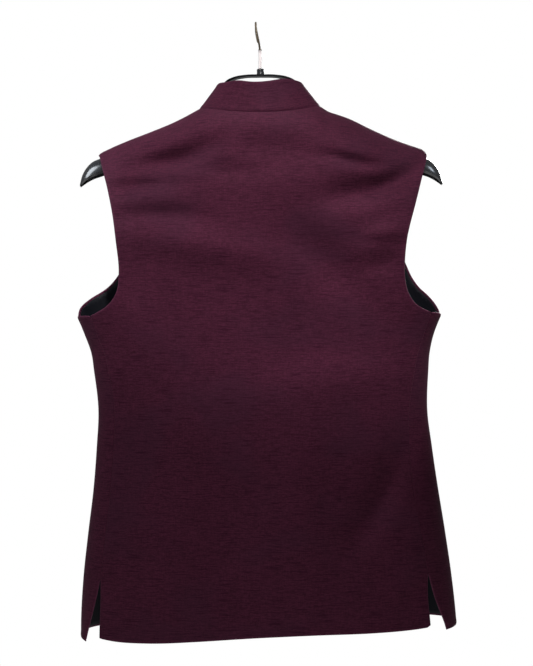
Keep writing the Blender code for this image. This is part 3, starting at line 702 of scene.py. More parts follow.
def linked(name, mesh, finishes, node=None, slot=None, place=(0, 0, 0), tilt=0.0):
    """Adds a piece that rides on the frame, with its finishes, in place of a plain solid."""
    piece = bpy.data.objects.new(name, mesh)
    bpy.context.collection.objects.link(piece)
    piece.location = place
    piece.rotation_euler.x = tilt
    for finish in finishes:
        mesh.materials.append(finish)
    if node is not None:
        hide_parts(node)
    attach(piece, "root")
    return piece


def shell_mesh(name, spots, faces, outer, inner, rim_distance, inner_finish=None):
    """A closed wall between two skins that share their triangles and their pattern measures."""
    used = np.unique(faces)
    renumber = np.full(len(outer), -1)
    renumber[used] = np.arange(len(used))
    faces = renumber[faces]
    spots, outer, inner, rim_distance = (a[used] for a in (spots, outer, inner, rim_distance))
    offset = len(outer)
    sides = np.concatenate([faces[:, [0, 1]], faces[:, [1, 2]], faces[:, [2, 0]]])
    known = {tuple(edge) for edge in sides.tolist()}
    rim = [(a, b) for a, b in known if (b, a) not in known]
    walls = [(b, a, a + offset, b + offset) for a, b in sorted(rim)]
    polygons = [*faces.tolist(), *(faces[:, ::-1] + offset).tolist(), *walls]
    mesh = bpy.data.meshes.new(name)
    mesh.from_pydata(np.concatenate([outer, inner]).tolist(), [], polygons)
    mesh.shade_smooth()
    corners = np.zeros(len(mesh.loops), dtype=np.int32)
    mesh.loops.foreach_get("vertex_index", corners)
    measures = np.concatenate([spots, spots])[corners].astype(np.float32)
    mesh.uv_layers.new(name=PATTERN_UV).data.foreach_set("uv", measures.ravel())
    mask = mesh.attributes.new(EDGE_MASK, "FLOAT", "POINT")
    both = np.concatenate([rim_distance, rim_distance]).astype(np.float32)
    mask.data.foreach_set("value", both)
    if inner_finish is not None:
        slots = np.zeros(len(polygons), dtype=np.int32)
        slots[len(faces) : 2 * len(faces)] = inner_finish
        mesh.polygons.foreach_set("material_index", slots)
    return mesh


print("each point of a skin keeps:", PATTERN_UV, "and", EDGE_MASK)

# %% [markdown]
# Where cloth is turned in at an edge, the fold is a half round as thick as the cloth, and the
# seam allowance inside lifts a faint welt behind it. Where it is sewn to its neighbour it stays
# nearly full, so that the two meet in a fine groove.

# %% Cloth of a given thickness, with turned edges
CLOTH = 0.002
EDGE_BANDS = (0.0004, 0.0011, 0.0028)
EDGE_LEAST = 0.30
SEAM_LEAST = 0.80
SEAM_REACH = 0.0012
LIP = 0.00035
LIP_REACH = 0.0075


def rounding(distance, thickness, least):
    """Share of the full thickness at a distance from the edge: a half round."""
    near = 1 - np.clip(distance / (thickness / 2), 0, 1)
    return least + (1 - least) * np.sqrt(1 - near**2)


def skins(base, normal, distance, thickness, sewn=False):
    """The outer and inner skins. The seam allowance inside lifts a low lip behind the edge."""
    least = np.where(sewn, SEAM_LEAST, EDGE_LEAST)
    share = rounding(distance, thickness, least)[:, None]
    reach = np.clip(distance / LIP_REACH, 0, 1)
    lip = np.where(sewn, 0, LIP * np.sin(math.pi * reach) ** 2)[:, None]
    outer = base - normal * (thickness / 2 * (1 - share) - lip)
    inner = base - normal * (thickness / 2 * (1 + share) + lip / 2)
    return outer, inner


edge_share = rounding(0, CLOTH, EDGE_LEAST)
print("cloth at a turned edge:", round(1000 * edge_share * CLOTH, 2), "mm thick")

# %% [markdown]
# ## Shader maths as Python
#
# A material in Blender is a graph of nodes. Drawing a woven cloth that way takes dozens of
# Math nodes, so this small class wraps one socket and lets ordinary Python operators add the
# nodes. `node` makes every other kind: its settings are set first, then its sockets are filled
# with values or with other wrapped sockets.

# %% A socket that can be used in an expression
class Wire:
    """One output socket of a material, usable in arithmetic."""

    def __init__(self, tree, socket):
        self.tree = tree
        self.socket = socket

    def node(self, kind, settings=None, inputs=None, output=0):
        made = self.tree.nodes.new(kind)
        for name, value in (settings or {}).items():
            setattr(made, name, value)
        for name, value in (inputs or {}).items():
            if isinstance(value, Wire):
                self.tree.links.new(value.socket, made.inputs[name])
            else:
                made.inputs[name].default_value = value
        return Wire(self.tree, made.outputs[output])

    def maths(self, operation, first, second=0.0, clamp=False):
        settings = {"operation": operation, "use_clamp": clamp}
        return self.node("ShaderNodeMath", settings, {0: first, 1: second})

    def __add__(self, other):
        return self.maths("ADD", self, other)

    __radd__ = __add__

    def __sub__(self, other):
        return self.maths("SUBTRACT", self, other)

    def __rsub__(self, other):
        return self.maths("SUBTRACT", other, self)

    def __mul__(self, other):
        return self.maths("MULTIPLY", self, other)

    __rmul__ = __mul__

    def sine(self):
        return self.maths("SINE", self)

    def limited(self):
        """The same value kept between 0 and 1."""
        return self.maths("ADD", self, 0.0, clamp=True)

    def between(self, low, high):
        """0 below low, 1 above high and a smooth rise between them."""
        settings = {"interpolation_type": "SMOOTHSTEP"}
        return self.node("ShaderNodeMapRange", settings, {0: self, 1: low, 2: high, 3: 0.0, 4: 1.0})

    def scaled(self, across, up):
        """A place multiplied by one factor in each direction."""
        settings = {"operation": "MULTIPLY"}
        return self.node("ShaderNodeVectorMath", settings, {0: self, 1: (across, up, 1.0)})

    def noise(self, across, up, detail=2.0, rough=0.5, twist=0.0, dimensions="2D"):
        """Cloudy values from 0 to 1 at this place, with so many features to the metre."""
        inputs = {"Vector": self.scaled(across, up), "Scale": 1.0, "Detail": detail}
        inputs |= {"Roughness": rough, "Distortion": twist}
        return self.node("ShaderNodeTexNoise", {"noise_dimensions": dimensions}, inputs)

    def part(self, axis):
        """One part of a place: 0, 1 or 2."""
        return self.node("ShaderNodeSeparateXYZ", None, {0: self}, output=axis)

    def bump(self, strength, distance):
        """This value as a relief of the surface."""
        inputs = {"Height": self, "Strength": strength, "Distance": distance}
        return self.node("ShaderNodeBump", None, inputs)

    def blend(self, first, second):
        """The first colour where this is 0 and the second where it is 1."""
        inputs = {0: self.limited(), 6: first, 7: second}
        return self.node("ShaderNodeMix", {"data_type": "RGBA"}, inputs, output=2)


print("a wire can also:", ", ".join(name for name in vars(Wire) if not name.startswith("_")))

# %% [markdown]
# Every finish starts from Blender's general shader, Principled. `finish_called` makes one and
# sets what stays the same all over the surface, and `feed` links what varies. A pattern on
# cloth is drawn in the pattern's measures, and one on a solid piece in that piece's own metres.

# %% Starting a finish
OBJECT_OUTPUT = 3


def finish_called(name, **constants):
    """A new material, and the wire of its shader, with the constants set on the shader."""
    material = bpy.data.materials.new(name)
    material.use_nodes = True
    tree = material.node_tree
    shader = tree.nodes["Principled BSDF"]
    for socket_name, value in constants.items():
        shader.inputs[socket_name.replace("_", " ")].default_value = value
    return material, Wire(tree, shader.outputs[0])


def feed(wire, **sockets):
    """Links wires to the shader's own sockets."""
    shader = wire.socket.node
    for socket_name, value in sockets.items():
        wire.tree.links.new(value.socket, shader.inputs[socket_name.replace("_", " ")])


def pattern_place(shader):
    """The two measures of the paper pattern, as a place."""
    return shader.node("ShaderNodeUVMap", {"uv_map": PATTERN_UV})


def solid_place(shader):
    """The place in a solid piece's own metres."""
    return shader.node("ShaderNodeTexCoord", output=OBJECT_OUTPUT)


print("places to draw on: the pattern's", repr(PATTERN_UV), "measures, or a solid's own metres")

# %% [markdown]
# ## The cloth
#
# This is a plain weave of two yarns. The weft, which runs across, is uneven: it swells into
# slubs a centimetre or two long and a millimetre high, and each slub takes the dye a little
# differently. The warp is finer and bluer, so the cloth is rosy where it faces the light and
# plum where it turns away. The pattern's own measures drive the weave, so the yarns run true
# to the cut, and their sizes are real ones: about 20 yarns to the centimetre.

# %% Slubbed cloth
YARN_PITCH = 0.00052
PLUM = (0.030, 0.0080, 0.0158, 1.0)
ROSE = (0.100, 0.0215, 0.0470, 1.0)
DARK_PLUM = (0.0260, 0.0056, 0.0150, 1.0)
DUSTY_PLUM = (0.048, 0.0170, 0.0330, 1.0)
# a painted highlight colour, for the thin lit strip along the free turned edges
PAINTED_EDGE_HIGHLIGHT = (0.150, 0.040, 0.085, 1.0)


def woven(name):
    """The jacket's cloth. Yarns, slubs and mottling are all in the pattern's measures."""
    material, shader = finish_called(
        name,
        Sheen_Weight=0.04,
        Sheen_Roughness=0.40,
        Sheen_Tint=(0.90, 0.30, 0.52, 1.0),
        Specular_IOR_Level=0.15,
        Specular_Tint=(1.0, 0.26, 0.50, 1.0),
    )
    place = pattern_place(shader)
    around, height = place.part(0), place.part(1)
    long_slubs = place.noise(75, 640, detail=2.5, rough=0.62)
    short_slubs = place.noise(230, 1000, detail=1.5)
    fine_weft = place.noise(520, 1900, detail=1.0)
    warp_streaks = place.noise(820, 90, detail=2.0)
    clouds = place.noise(17, 34, detail=3.0, twist=0.4)
    crossing = (around * (math.pi / YARN_PITCH)).sine() * (height * (math.pi / YARN_PITCH)).sine()
    weft = 0.42 * long_slubs + 0.36 * short_slubs + 0.22 * fine_weft
    tone = weft.between(0.36, 0.64) * 0.56 + warp_streaks * 0.46 + clouds * 0.24 - 0.14
    tone = tone + crossing * 0.08
    colour = tone.blend(PLUM, ROSE)
    dusty = place.noise(8, 11, detail=2.0, twist=0.3).between(0.46, 0.70)
    colour = (dusty * 0.34).blend(colour, DUSTY_PLUM)
    dark_slub = place.noise(34, 720, detail=1.0, rough=0.4).between(0.62, 0.73)
    colour = (dark_slub * 0.65).blend(colour, DARK_PLUM)
    # painted highlight: a lighter rose strip along the free edges, where the rolled edge catches
    # the light
    edge = shader.node("ShaderNodeAttribute", {"attribute_name": EDGE_MASK}, output=2)
    painted_edge_highlight = (1 - edge.between(0.0004, 0.0018)) * 0.30
    colour = painted_edge_highlight.blend(colour, PAINTED_EDGE_HIGHLIGHT)
    surface = crossing * 0.45 + long_slubs * 1.1 + short_slubs * 0.6 + warp_streaks * 0.25
    relief_of_yarns = surface.bump(0.30, 0.00022)
    feed(shader, Base_Color=colour, Roughness=0.62 - 0.10 * weft, Normal=relief_of_yarns)
    return material


cloth = woven("slubbed_cloth")
print("cloth nodes:", len(cloth.node_tree.nodes))

# %% [markdown]
# ## The lining
#
# The lining is a black satin with a touch of blue. Satin floats each yarn over several others,
# which gives fine slanting ribs and a soft gloss that follows every small pucker. It shows in
# the armholes, behind the vents and through the neck.

# %% Satin lining
SATIN_PITCH = 0.0009
INK = (0.0040, 0.0042, 0.0072, 1.0)
SLATE = (0.0080, 0.0084, 0.0130, 1.0)


def satin(name):
    material, shader = finish_called(name, Specular_IOR_Level=0.12, Sheen_Weight=0.02)
    place = pattern_place(shader)
    ribs = ((place.part(0) + place.part(1) * 0.6) * (2 * math.pi / SATIN_PITCH)).sine()
    clouds = place.noise(24, 30, detail=3.0)
    puckers = place.noise(70, 22, detail=2.0, twist=0.6)
    tone = clouds * 0.9 + ribs * 0.10 - 0.18
    relief_of_puckers = (ribs * 0.06 + puckers * 3.0).bump(0.35, 0.0004)
    feed(shader, Base_Color=tone.blend(INK, SLATE), Roughness=0.50 + 0.14 * clouds)
    feed(shader, Normal=relief_of_puckers)
    return material


lining = satin("satin_lining")
print("lining nodes:", len(lining.node_tree.nodes))

# %% [markdown]
# ## Back and fronts
#
# The back hangs on the hanger and is what the room sees. Its inner face is lined, apart from
# the few millimetres of cloth that turn in at every edge. Each front has a separate lining
# piece, and its own cloth turns back as a facing behind the buttons. The right front passes
# under the left where they button, so its surface sinks there.

# %% Panels of the body
SEAM_GAP = 0.0001
LINING_INSET = 0.0025
LINING_FRONT_EDGE = 0.058
LINING = 0.001
UNDERLAP_SINK = 0.0034
UNDERLAP_MARGIN = 0.012
UNDERLAP_BLEND = 0.024
SHOULDER_STEPS = 30


def sewn_lines(name):
    """The parts of a panel's outline that are sewn to a neighbour, there and back as loops."""
    sides = {"back_panel": (LEFT, RIGHT), "front_left": (LEFT,), "front_right": (RIGHT,)}[name]
    centre = 0 if name == "back_panel" else math.pi
    lines = []
    for side in sides:
        tip = side * (SHOULDER_TIP[side] - TIP_ROUNDING)
        x = np.linspace(tip, neck_side(side), SHOULDER_STEPS)
        theta = np.linspace(math.pi / 2, centre, NECK_STEPS + 1)
        seam = side_seam(side, past=name != "back_panel")
        lines += [seam, laid(x, ridge(x)), laid(*neck_ring(side * theta))]
    return [np.concatenate([line, line[-2:0:-1]]) for line in lines]


def body_panel(name, face, outline, lining_outline):
    """A panel of cloth on the form. Returns its pieces, its surface and its fill."""
    edge = divided(moved_in(outline, SEAM_GAP / 2), PATTERN_STEP)
    bands = [moved_in(edge, gap) for gap in EDGE_BANDS]
    turn_in = divided(lining_outline, PATTERN_STEP)
    spots, faces = filled(edge, PATTERN_STEP, [*bands, turn_in])
    base = form(face, *spots.T)
    normal = normals(lambda around, height: form(face, around, height), face, *spots.T)
    if name == "front_right":
        past_edge = base[:, 0] - AXIS_X + OVERLAP + UNDERLAP_MARGIN
        sunk = UNDERLAP_SINK * smooth_step(1 + past_edge / UNDERLAP_BLEND)
        base = base - normal * sunk[:, None]
    distance = distance_to(spots, [edge])
    sewn = distance_to(spots, sewn_lines(name)) < distance + SEAM_REACH
    outer, inner = skins(base, normal, distance, CLOTH, sewn)
    turned = faces if face == FRONT else faces[:, ::-1]
    lined = inside(spots[faces].mean(axis=1), [turn_in])
    return {
        "spots": spots,
        "faces": turned,
        "outer": outer,
        "inner": inner,
        "normal": normal,
        "distance": np.where(sewn, LIP_REACH, distance),
        "lined": lined,
    }


def skin_area(points, faces):
    """How much cloth a skin takes."""
    a, b, c = (points[faces[:, i]] for i in range(3))
    return np.linalg.norm(np.cross(b - a, c - a), axis=1).sum() / 2


print("loops of sewn edge:", {name: len(sewn_lines(name)) for name in outlines})

# %% [markdown]
# The back is one piece with no seam down its middle. Its outside is the slubbed cloth, and the
# part of its inner face within the turned-in edges is finished as satin.

# %% The back
back_cut = outlines["back_panel"]
panel = body_panel("back_panel", BACK, back_cut, moved_in(back_cut, LINING_INSET))
parts = (panel[key] for key in ("spots", "faces", "outer", "inner", "distance"))
back_mesh = shell_mesh("back_panel", *parts, inner_finish=panel["lined"].astype(np.int32))
back_piece = linked("back_panel_cloth", back_mesh, [cloth, lining], "back_panel", "cloth")
back_area = skin_area(panel["outer"], panel["faces"])
print("back:", len(back_mesh.polygons), "faces,", round(back_area, 4), "m2 of cloth")

# %% [markdown]
# The fronts come in a pair, so one loop makes both, each with its lining. The lining is cut from
# the front's own outline, from the facing outwards, and follows the front's inner skin. So it
# can never cut through the cloth, which two separately shaped skins might do.

# %% The fronts and their linings
front_pieces, lining_pieces, areas = {}, {}, {"back": back_area}
for front_side, side_name in ((LEFT, "left"), (RIGHT, "right")):
    front_name = f"front_{side_name}"
    cut = outlines[front_name]
    lining_cut = moved_in(clipped(cut, front_side, LINING_FRONT_EDGE), LINING_INSET)
    panel = body_panel(front_name, FRONT, cut, lining_cut)
    parts = (panel[key] for key in ("spots", "faces", "outer", "inner", "distance"))
    mesh = shell_mesh(front_name, *parts)
    front_pieces[front_side] = linked(f"{front_name}_cloth", mesh, [cloth], front_name, "cloth")
    skin = panel["inner"] - panel["normal"] * SEAM_GAP
    depth_in = distance_to(panel["spots"], [lining_cut])
    share = rounding(depth_in, LINING, EDGE_LEAST)[:, None]
    outer = skin - panel["normal"] * LINING / 2 * (1 - share)
    inner = skin - panel["normal"] * LINING / 2 * (1 + share)
    lined_faces = panel["faces"][panel["lined"]]
    lining_name = f"lining_{side_name}"
    mesh = shell_mesh(lining_name, panel["spots"], lined_faces, outer, inner, depth_in)
    piece = linked(f"{lining_name}_satin", mesh, [lining], lining_name, "lining")
    lining_pieces[front_side] = piece
    areas[front_name] = skin_area(panel["outer"], panel["faces"])
    areas[lining_name] = skin_area(outer, lined_faces)
    both = [round(areas[key], 4) for key in (front_name, lining_name)]
    print(front_name, "cloth and lining:", both, "m2")

# %% [markdown]
# ## The collar
#
# A band collar is a straight strip that stands up from the neck seam and leans in to a smaller
# ring at its top, with its two front ends rounded off. It is stiffer and thicker than the body
# because it holds a canvas. Its foot follows the neck seam all the way round, and the groove
# between the two rounded edges is the seam that shows as a thin dark line.

# %% The collar's shape
COLLAR_STEP = 0.003
COLLAR_HEIGHT = 0.041
COLLAR_HALF_GIRTH = 0.210
COLLAR_TOP_HALF_WIDTH = 0.0523
COLLAR_TOP_SHIFT = 0.0020
COLLAR_TOP_TILT = 0.0008
COLLAR_TOP_BACK_Y = 0.036
COLLAR_TOP_FRONT_Y = -0.060
COLLAR_TOP_SIDE_Z = -0.0748
COLLAR_TOP_BACK_Z = -0.0785
COLLAR_TOP_FRONT_Z = -0.1310
# angle round the collar, reach, rise of its top edge
COLLAR_TOP_WAVES = ((-0.66, 0.40, 0.0034), (0.54, 0.26, 0.0021), (2.30, 0.50, 0.0012))
COLLAR_END_RADIUS = 0.018
COLLAR_END_STEPS = 12
COLLAR_END_GAP = 0.0025
COLLAR_LIFT = -2 * SEAM_GAP


def collar_point(around, height):
    """A point of the collar band, which leans in from the neck seam to its top edge."""
    around, height = np.broadcast_arrays(np.float64(around), np.float64(height))
    theta = around / COLLAR_HALF_GIRTH * math.pi
    x, z = neck_ring(theta)
    back = np.cos(theta) > 0
    places = laid(x, z)
    on_back, on_front = (form(face, places[..., 0], places[..., 1]) for face in (BACK, FRONT))
    foot = np.where(back[..., None], on_back, on_front)
    foot[..., 2] += COLLAR_LIFT
    top_y = np.where(back, COLLAR_TOP_BACK_Y, -COLLAR_TOP_FRONT_Y) * np.cos(theta)
    top_z = np.where(back, COLLAR_TOP_BACK_Z, COLLAR_TOP_FRONT_Z) - COLLAR_TOP_SIDE_Z
    top_z = COLLAR_TOP_SIDE_Z + top_z * np.cos(theta) ** 2 - COLLAR_TOP_TILT * np.sin(theta)
    for wave_at, wave_reach, rise in COLLAR_TOP_WAVES:
        top_z += rise * np.exp(-(((theta - wave_at) / wave_reach) ** 2))
    top_x = COLLAR_TOP_SHIFT * np.cos(theta / 2) + COLLAR_TOP_HALF_WIDTH * np.sin(theta)
    top = np.stack([top_x + AXIS_X, top_y, top_z], axis=-1)
    return foot + (top - foot) * (height / COLLAR_HEIGHT)[..., None]


def collar_outline():
    end = COLLAR_HALF_GIRTH - COLLAR_END_GAP
    corners = [(-end, 0), (end, 0), (end, COLLAR_HEIGHT), (0, COLLAR_HEIGHT)]
    bottom = through(corners[:2], COLLAR_STEP)
    right_end = through(corners[1:3], COLLAR_STEP)
    top = through(corners[2:], COLLAR_STEP)
    half = turned_corner(right_end, top, COLLAR_END_RADIUS, steps=COLLAR_END_STEPS)
    other = half[::-1] * (-1, 1)
    return np.concatenate([bottom[:-1], half[:-1], other[:-1]])


print("collar:", round(1000 * COLLAR_HEIGHT), "mm high,", len(collar_outline()), "points round")

# %% [markdown]
# The band is filled and given two skins in the same way as the panels. It is one piece, because
# its lining is of the same cloth and only turns in at the seam.

# %% The collar's cloth
COLLAR_CLOTH = 0.0026

edge = collar_outline()
spots, faces = filled(edge, COLLAR_STEP, [moved_in(edge, gap) for gap in EDGE_BANDS])
base = collar_point(*spots.T)
normal = normals(collar_point, BACK, *spots.T)
distance = distance_to(spots, [edge])
outer, inner = skins(base, normal, distance, COLLAR_CLOTH)
collar_mesh = shell_mesh("collar", spots, faces[:, ::-1], outer, inner, distance)
collar_piece = linked("collar_band", collar_mesh, [cloth], "collar", "cloth")
areas["collar"] = skin_area(outer, faces)
print("collar:", len(collar_mesh.polygons), "faces,", round(areas["collar"], 4), "m2")

# %% [markdown]
# ## Tubes
#
# The hook, the sewing thread and the buttonhole stitches are all round bars along a path. One
# helper sweeps a ring of points along any path, with its own radius at each place, and closes
# the ends. Many small tubes can share one mesh, so that hundreds of stitches are one piece.

# %% A round bar along a path
# a path's first ring is squared to the first of these, or to the other if it runs along that
RING_STARTS = ((0.3, 0.9, 0.2), (1.0, 0.1, 0.2))
NEARLY_ALONG = 0.8


def circle(radius, sides, centre=(0, 0)):
    """Points evenly round a circle."""
    angle = np.arange(sides) * 2 * math.pi / sides
    return np.array(centre) + radius * np.stack([np.cos(angle), np.sin(angle)], axis=-1)


def swept(paths, radii, sides):
    """Points and faces of round bars along paths, each closed at both ends."""
    points, faces = [], []
    for path, radius in zip(paths, radii, strict=True):
        path = np.array(path, dtype=float)
        along = np.gradient(path, axis=0)
        along /= np.linalg.norm(along, axis=1, keepdims=True)
        side = np.cross(along[0], RING_STARTS[int(abs(along[0][1]) >= NEARLY_ALONG)])
        start = len(points)
        for place, direction, thick in zip(path, along, radius, strict=True):
            side = side - direction * (side @ direction)
            side /= np.linalg.norm(side)
            other = np.cross(direction, side)
            for ring_x, ring_y in circle(thick, sides):
                points.append(place + ring_x * side + ring_y * other)
        for i in range(len(path) - 1):
            for j in range(sides):
                a, b = start + i * sides + j, start + i * sides + (j + 1) % sides
                faces.append((a, b, b + sides, a + sides))
        last = start + (len(path) - 1) * sides
        faces.append(tuple(range(start + sides - 1, start - 1, -1)))
        faces.append(tuple(range(last, last + sides)))
    return points, faces


def mesh_of(name, points, faces):
    mesh = bpy.data.meshes.new(name)
    mesh.from_pydata([tuple(p) for p in points], [], faces)
    mesh.shade_smooth()
    return mesh


test_bar = swept([[(0, 0, 0), (0, 0, 0.5), (0, 0, 1)]], [[0.1, 0.1, 0.1]], 8)
print("a bar of two lengths with eight sides:", len(test_bar[1]), "faces")

# %% [markdown]
# ## Buttons
#
# Five four-hole buttons close the left front over the right. Each is turned from one profile:
# a dished middle, a raised rim and a rounded edge. They are cast in a plum resin with a faint
# swirl, like the horn that they copy. Cross-stitched thread holds them on, and beside each one
# lies the end of its worked buttonhole.

# %% Resin and thread
DARK_RESIN = (0.012, 0.004, 0.008, 1.0)
PLUM_RESIN = (0.050, 0.013, 0.027, 1.0)
DARK_THREAD = (0.040, 0.008, 0.022, 1.0)
ROSE_THREAD = (0.110, 0.026, 0.060, 1.0)


def resin(name):
    gloss = {"Coat_Weight": 0.20, "Coat_Roughness": 0.16, "Specular_IOR_Level": 0.35}
    material, shader = finish_called(name, **gloss)
    swirl = solid_place(shader).noise(70, 160, detail=4.0, twist=1.6, dimensions="3D")
    colour = swirl.between(0.32, 0.70).blend(DARK_RESIN, PLUM_RESIN)
    pitting = swirl.bump(0.08, 0.0002)
    feed(shader, Base_Color=colour, Roughness=0.34 + 0.16 * swirl, Normal=pitting)
    return material


def thread_finish(name):
    material, shader = finish_called(name, Sheen_Weight=0.30, Specular_IOR_Level=0.35)
    place = solid_place(shader)
    inputs = {"Vector": place, "Scale": 2600.0, "Detail": 2.0}
    twist = place.node("ShaderNodeTexNoise", {"noise_dimensions": "3D"}, inputs)
    colour = twist.between(0.3, 0.7).blend(DARK_THREAD, ROSE_THREAD)
    plies = twist.bump(0.4, 0.00015)
    feed(shader, Base_Color=colour, Roughness=0.48 + 0.15 * twist, Normal=plies)
    return material


button_resin = resin("plum_resin")
sewing_thread = thread_finish("sewing_thread")
for finish in (button_resin, sewing_thread):
    print(finish.name, "nodes:", len(finish.node_tree.nodes))

# %% Button shape
BUTTON_RADIUS = 0.0100
BUTTON_THICK = 0.0030
BUTTON_DISH = 0.0010
BUTTON_RIM = 0.0022
BUTTON_EDGE = 0.0009
BUTTON_EDGE_FULLNESS = 0.98
BUTTON_CHAMFER = 0.0005
BUTTON_CHAMFER_WIDTH = 0.0011
# rings of points that hold the rim's shape, then the foot of the rim
BUTTON_RINGS = (0.0098, 0.0094, 0.0089, 0.0084, 0.0081, BUTTON_RADIUS - BUTTON_RIM)
BUTTON_STEP = 0.0007
BUTTON_SIDES = 72
BUTTON_HOLE_RADIUS = 0.0010
BUTTON_HOLE_OFFSET = 0.0020
BUTTON_HOLE_SIDES = 16
BUTTON_GAP = 0.0006
BUTTON_TOP_Z = -0.197
BUTTON_PITCH = 0.098
BUTTON_COUNT = 5
BUTTON_SEAT_ROWS = 5
BUTTON_SHARP_ANGLE = math.radians(55)


def button_face(out):
    """Height of the button's face above its back, by the distance from the centre."""
    rim_middle = BUTTON_RADIUS - BUTTON_RIM / 2
    dish = BUTTON_DISH * (1 - smooth_step((out - BUTTON_RADIUS + BUTTON_RIM) / (BUTTON_RIM / 2)))
    near_edge = np.clip((out - rim_middle) / (BUTTON_RADIUS - rim_middle), 0, 1)
    rounded = np.sqrt(1 - BUTTON_EDGE_FULLNESS * near_edge**2)
    return BUTTON_THICK - dish - BUTTON_EDGE * (1 - rounded)


hole_centres = circle(BUTTON_HOLE_OFFSET, 4)
holes = [circle(BUTTON_HOLE_RADIUS, BUTTON_HOLE_SIDES, centre) for centre in hole_centres]
rings = [circle(radius, BUTTON_SIDES) for radius in BUTTON_RINGS]
spots, faces = filled(circle(BUTTON_RADIUS, BUTTON_SIDES), BUTTON_STEP, rings, holes)
out = np.linalg.norm(spots, axis=1)
chamfer_start = BUTTON_RADIUS - BUTTON_CHAMFER_WIDTH
chamfer = BUTTON_CHAMFER * np.clip((out - chamfer_start) / BUTTON_CHAMFER_WIDTH, 0, 1) ** 2
face_up = np.stack([spots[:, 0], -button_face(out), spots[:, 1]], axis=-1)
underside = np.stack([spots[:, 0], -chamfer, spots[:, 1]], axis=-1)
button_mesh = shell_mesh("button", spots, faces, face_up, underside, BUTTON_RADIUS - out)
button_mesh.set_sharp_from_angle(angle=BUTTON_SHARP_ANGLE)
button_places = []
for number in range(BUTTON_COUNT):
    z = BUTTON_TOP_Z - number * BUTTON_PITCH
    rows = np.linspace(z - BUTTON_RADIUS, z + BUTTON_RADIUS, BUTTON_SEAT_ROWS)
    seat = form(FRONT, 0, rows)[:, 1]
    tilt = math.atan2(seat[0] - seat[-1], 2 * BUTTON_RADIUS)
    button_places.append((Vector((AXIS_X, seat.min() - BUTTON_GAP, z)), tilt))
print("button:", len(button_mesh.polygons), "faces")

# %% [markdown]
# Thread goes down through one hole and up through the opposite one, several times, which leaves
# two crossed bars on the face of the button. Each bar here is three strands side by side, and
# the second bar lies on top of the first.

# %% Buttons and the thread that crosses them
THREAD = 0.00032
THREAD_SPACING = 1.7 * THREAD
THREAD_STEPS = 11
THREAD_DIVE = 0.0012
THREAD_DIVE_FROM = 0.99
THREAD_SIDES = 8


def button_thread():
    """Two crossed bars of three strands each, in the button's own frame."""
    paths, radii = [], []
    floor = BUTTON_THICK - BUTTON_DISH
    for turn in (0, math.pi / 2):
        direction = np.array((math.cos(turn), 0, math.sin(turn)))
        aside = np.array((-math.sin(turn), 0, math.cos(turn)))
        lift = THREAD * (1 + 2 * (turn > 0))
        for strand in (-1, 0, 1):
            t = np.linspace(-1, 1, THREAD_STEPS)
            rise = floor + lift * np.sqrt(np.clip(1 - t**4, 0, 1))
            rise -= THREAD_DIVE * (abs(t) > THREAD_DIVE_FROM)
            path = [
                direction * BUTTON_HOLE_OFFSET * s + aside * strand * THREAD_SPACING + (0, -r, 0)
                for s, r in zip(t, rise, strict=True)
            ]
            paths.append(path)
            radii.append([THREAD] * len(path))
    return swept(paths, radii, THREAD_SIDES)


thread_mesh = mesh_of("button_thread", *button_thread())
for number, seat in enumerate(button_places, start=1):
    button = f"button_{number}"
    linked(f"{button}_sewn", button_mesh.copy(), [button_resin], button, "button", *seat)
    thread_name = f"button_thread_{number}_sewn"
    linked(thread_name, thread_mesh.copy(), [sewing_thread], None, "cloth", *seat)
print("buttons sewn on:", len(button_places))

# %% [markdown]
# A worked buttonhole is a slit whose two lips are bound with close stitches, with a bar of long
# ones across its end. Each stitch is a short bar that follows the front's own skin.

# %% Worked buttonholes
HOLE_START = -0.0035
HOLE_END = 0.0200
HOLE_SLIT = 0.0002
STITCH_PITCH = 0.00062
STITCH_LENGTH = 0.0024
STITCH = 0.00030
STITCH_RISE = 1.3 * STITCH
STITCH_TAPER = (0.9, 1.0, 1.0, 0.95, 0.6)
STITCH_SIDES = 6
BAR_STITCHES = 5
BAR_PITCH = 1.4 * STITCH
BAR_RISE = 1.8 * STITCH
BAR_STEPS = 9


def front_skin(around, height):
    """A place on the left front's outer skin, and the direction out of it."""
    around, height = np.float64(around), np.float64(height)
    out_of = normals(lambda a, h: form(FRONT, a, h), FRONT, around, height)
    return form(FRONT, around, height), out_of


def buttonhole_stitches(z):
    """Close stitches along both lips of one buttonhole, and a bar across its inner end."""
    paths, radii = [], []
    count = round((HOLE_END - HOLE_START) / STITCH_PITCH)
    for i in range(count):
        x = HOLE_START + i * STITCH_PITCH
        for side in (-1, 1):
            path = []
            for t in np.linspace(0, 1, len(STITCH_TAPER)):
                place, out_of = front_skin(x, z + side * (HOLE_SLIT + t * STITCH_LENGTH))
                path.append(place + out_of * STITCH_RISE * math.sin(math.pi * (0.15 + 0.75 * t)))
            paths.append(path)
            radii.append([STITCH * share for share in STITCH_TAPER])
    for i in range(BAR_STITCHES):
        path = []
        for t in np.linspace(-1, 1, BAR_STEPS):
            place, out_of = front_skin(HOLE_END + i * BAR_PITCH, z + t * STITCH_LENGTH)
            path.append(place + out_of * BAR_RISE * math.sqrt(1 - 0.9 * t**2))
        paths.append(path)
        radii.append([STITCH] * len(path))
    return paths, radii


all_paths, all_radii = [], []
for number in range(BUTTON_COUNT):
    paths, radii = buttonhole_stitches(BUTTON_TOP_Z - number * BUTTON_PITCH)
    all_paths += paths
    all_radii += radii
holes_mesh = mesh_of("buttonholes", *swept(all_paths, all_radii, STITCH_SIDES))
linked("buttonholes_worked", holes_mesh, [sewing_thread], None, "cloth")
print("buttonholes:", len(all_paths), "stitches")

# %% [markdown]
# ## The hanger
#
# A moulded suit hanger is a wide shell, open below, that grows from a slim arch at the neck to
# broad shoulders and closes again to a thin tip. Black plastic from a polished mould is glossy,
# with faint flow lines and fine scratches from other hangers on the rail.

# %% Moulded plastic
BLACK = (0.008, 0.009, 0.011, 1.0)
GREYED = (0.026, 0.028, 0.034, 1.0)


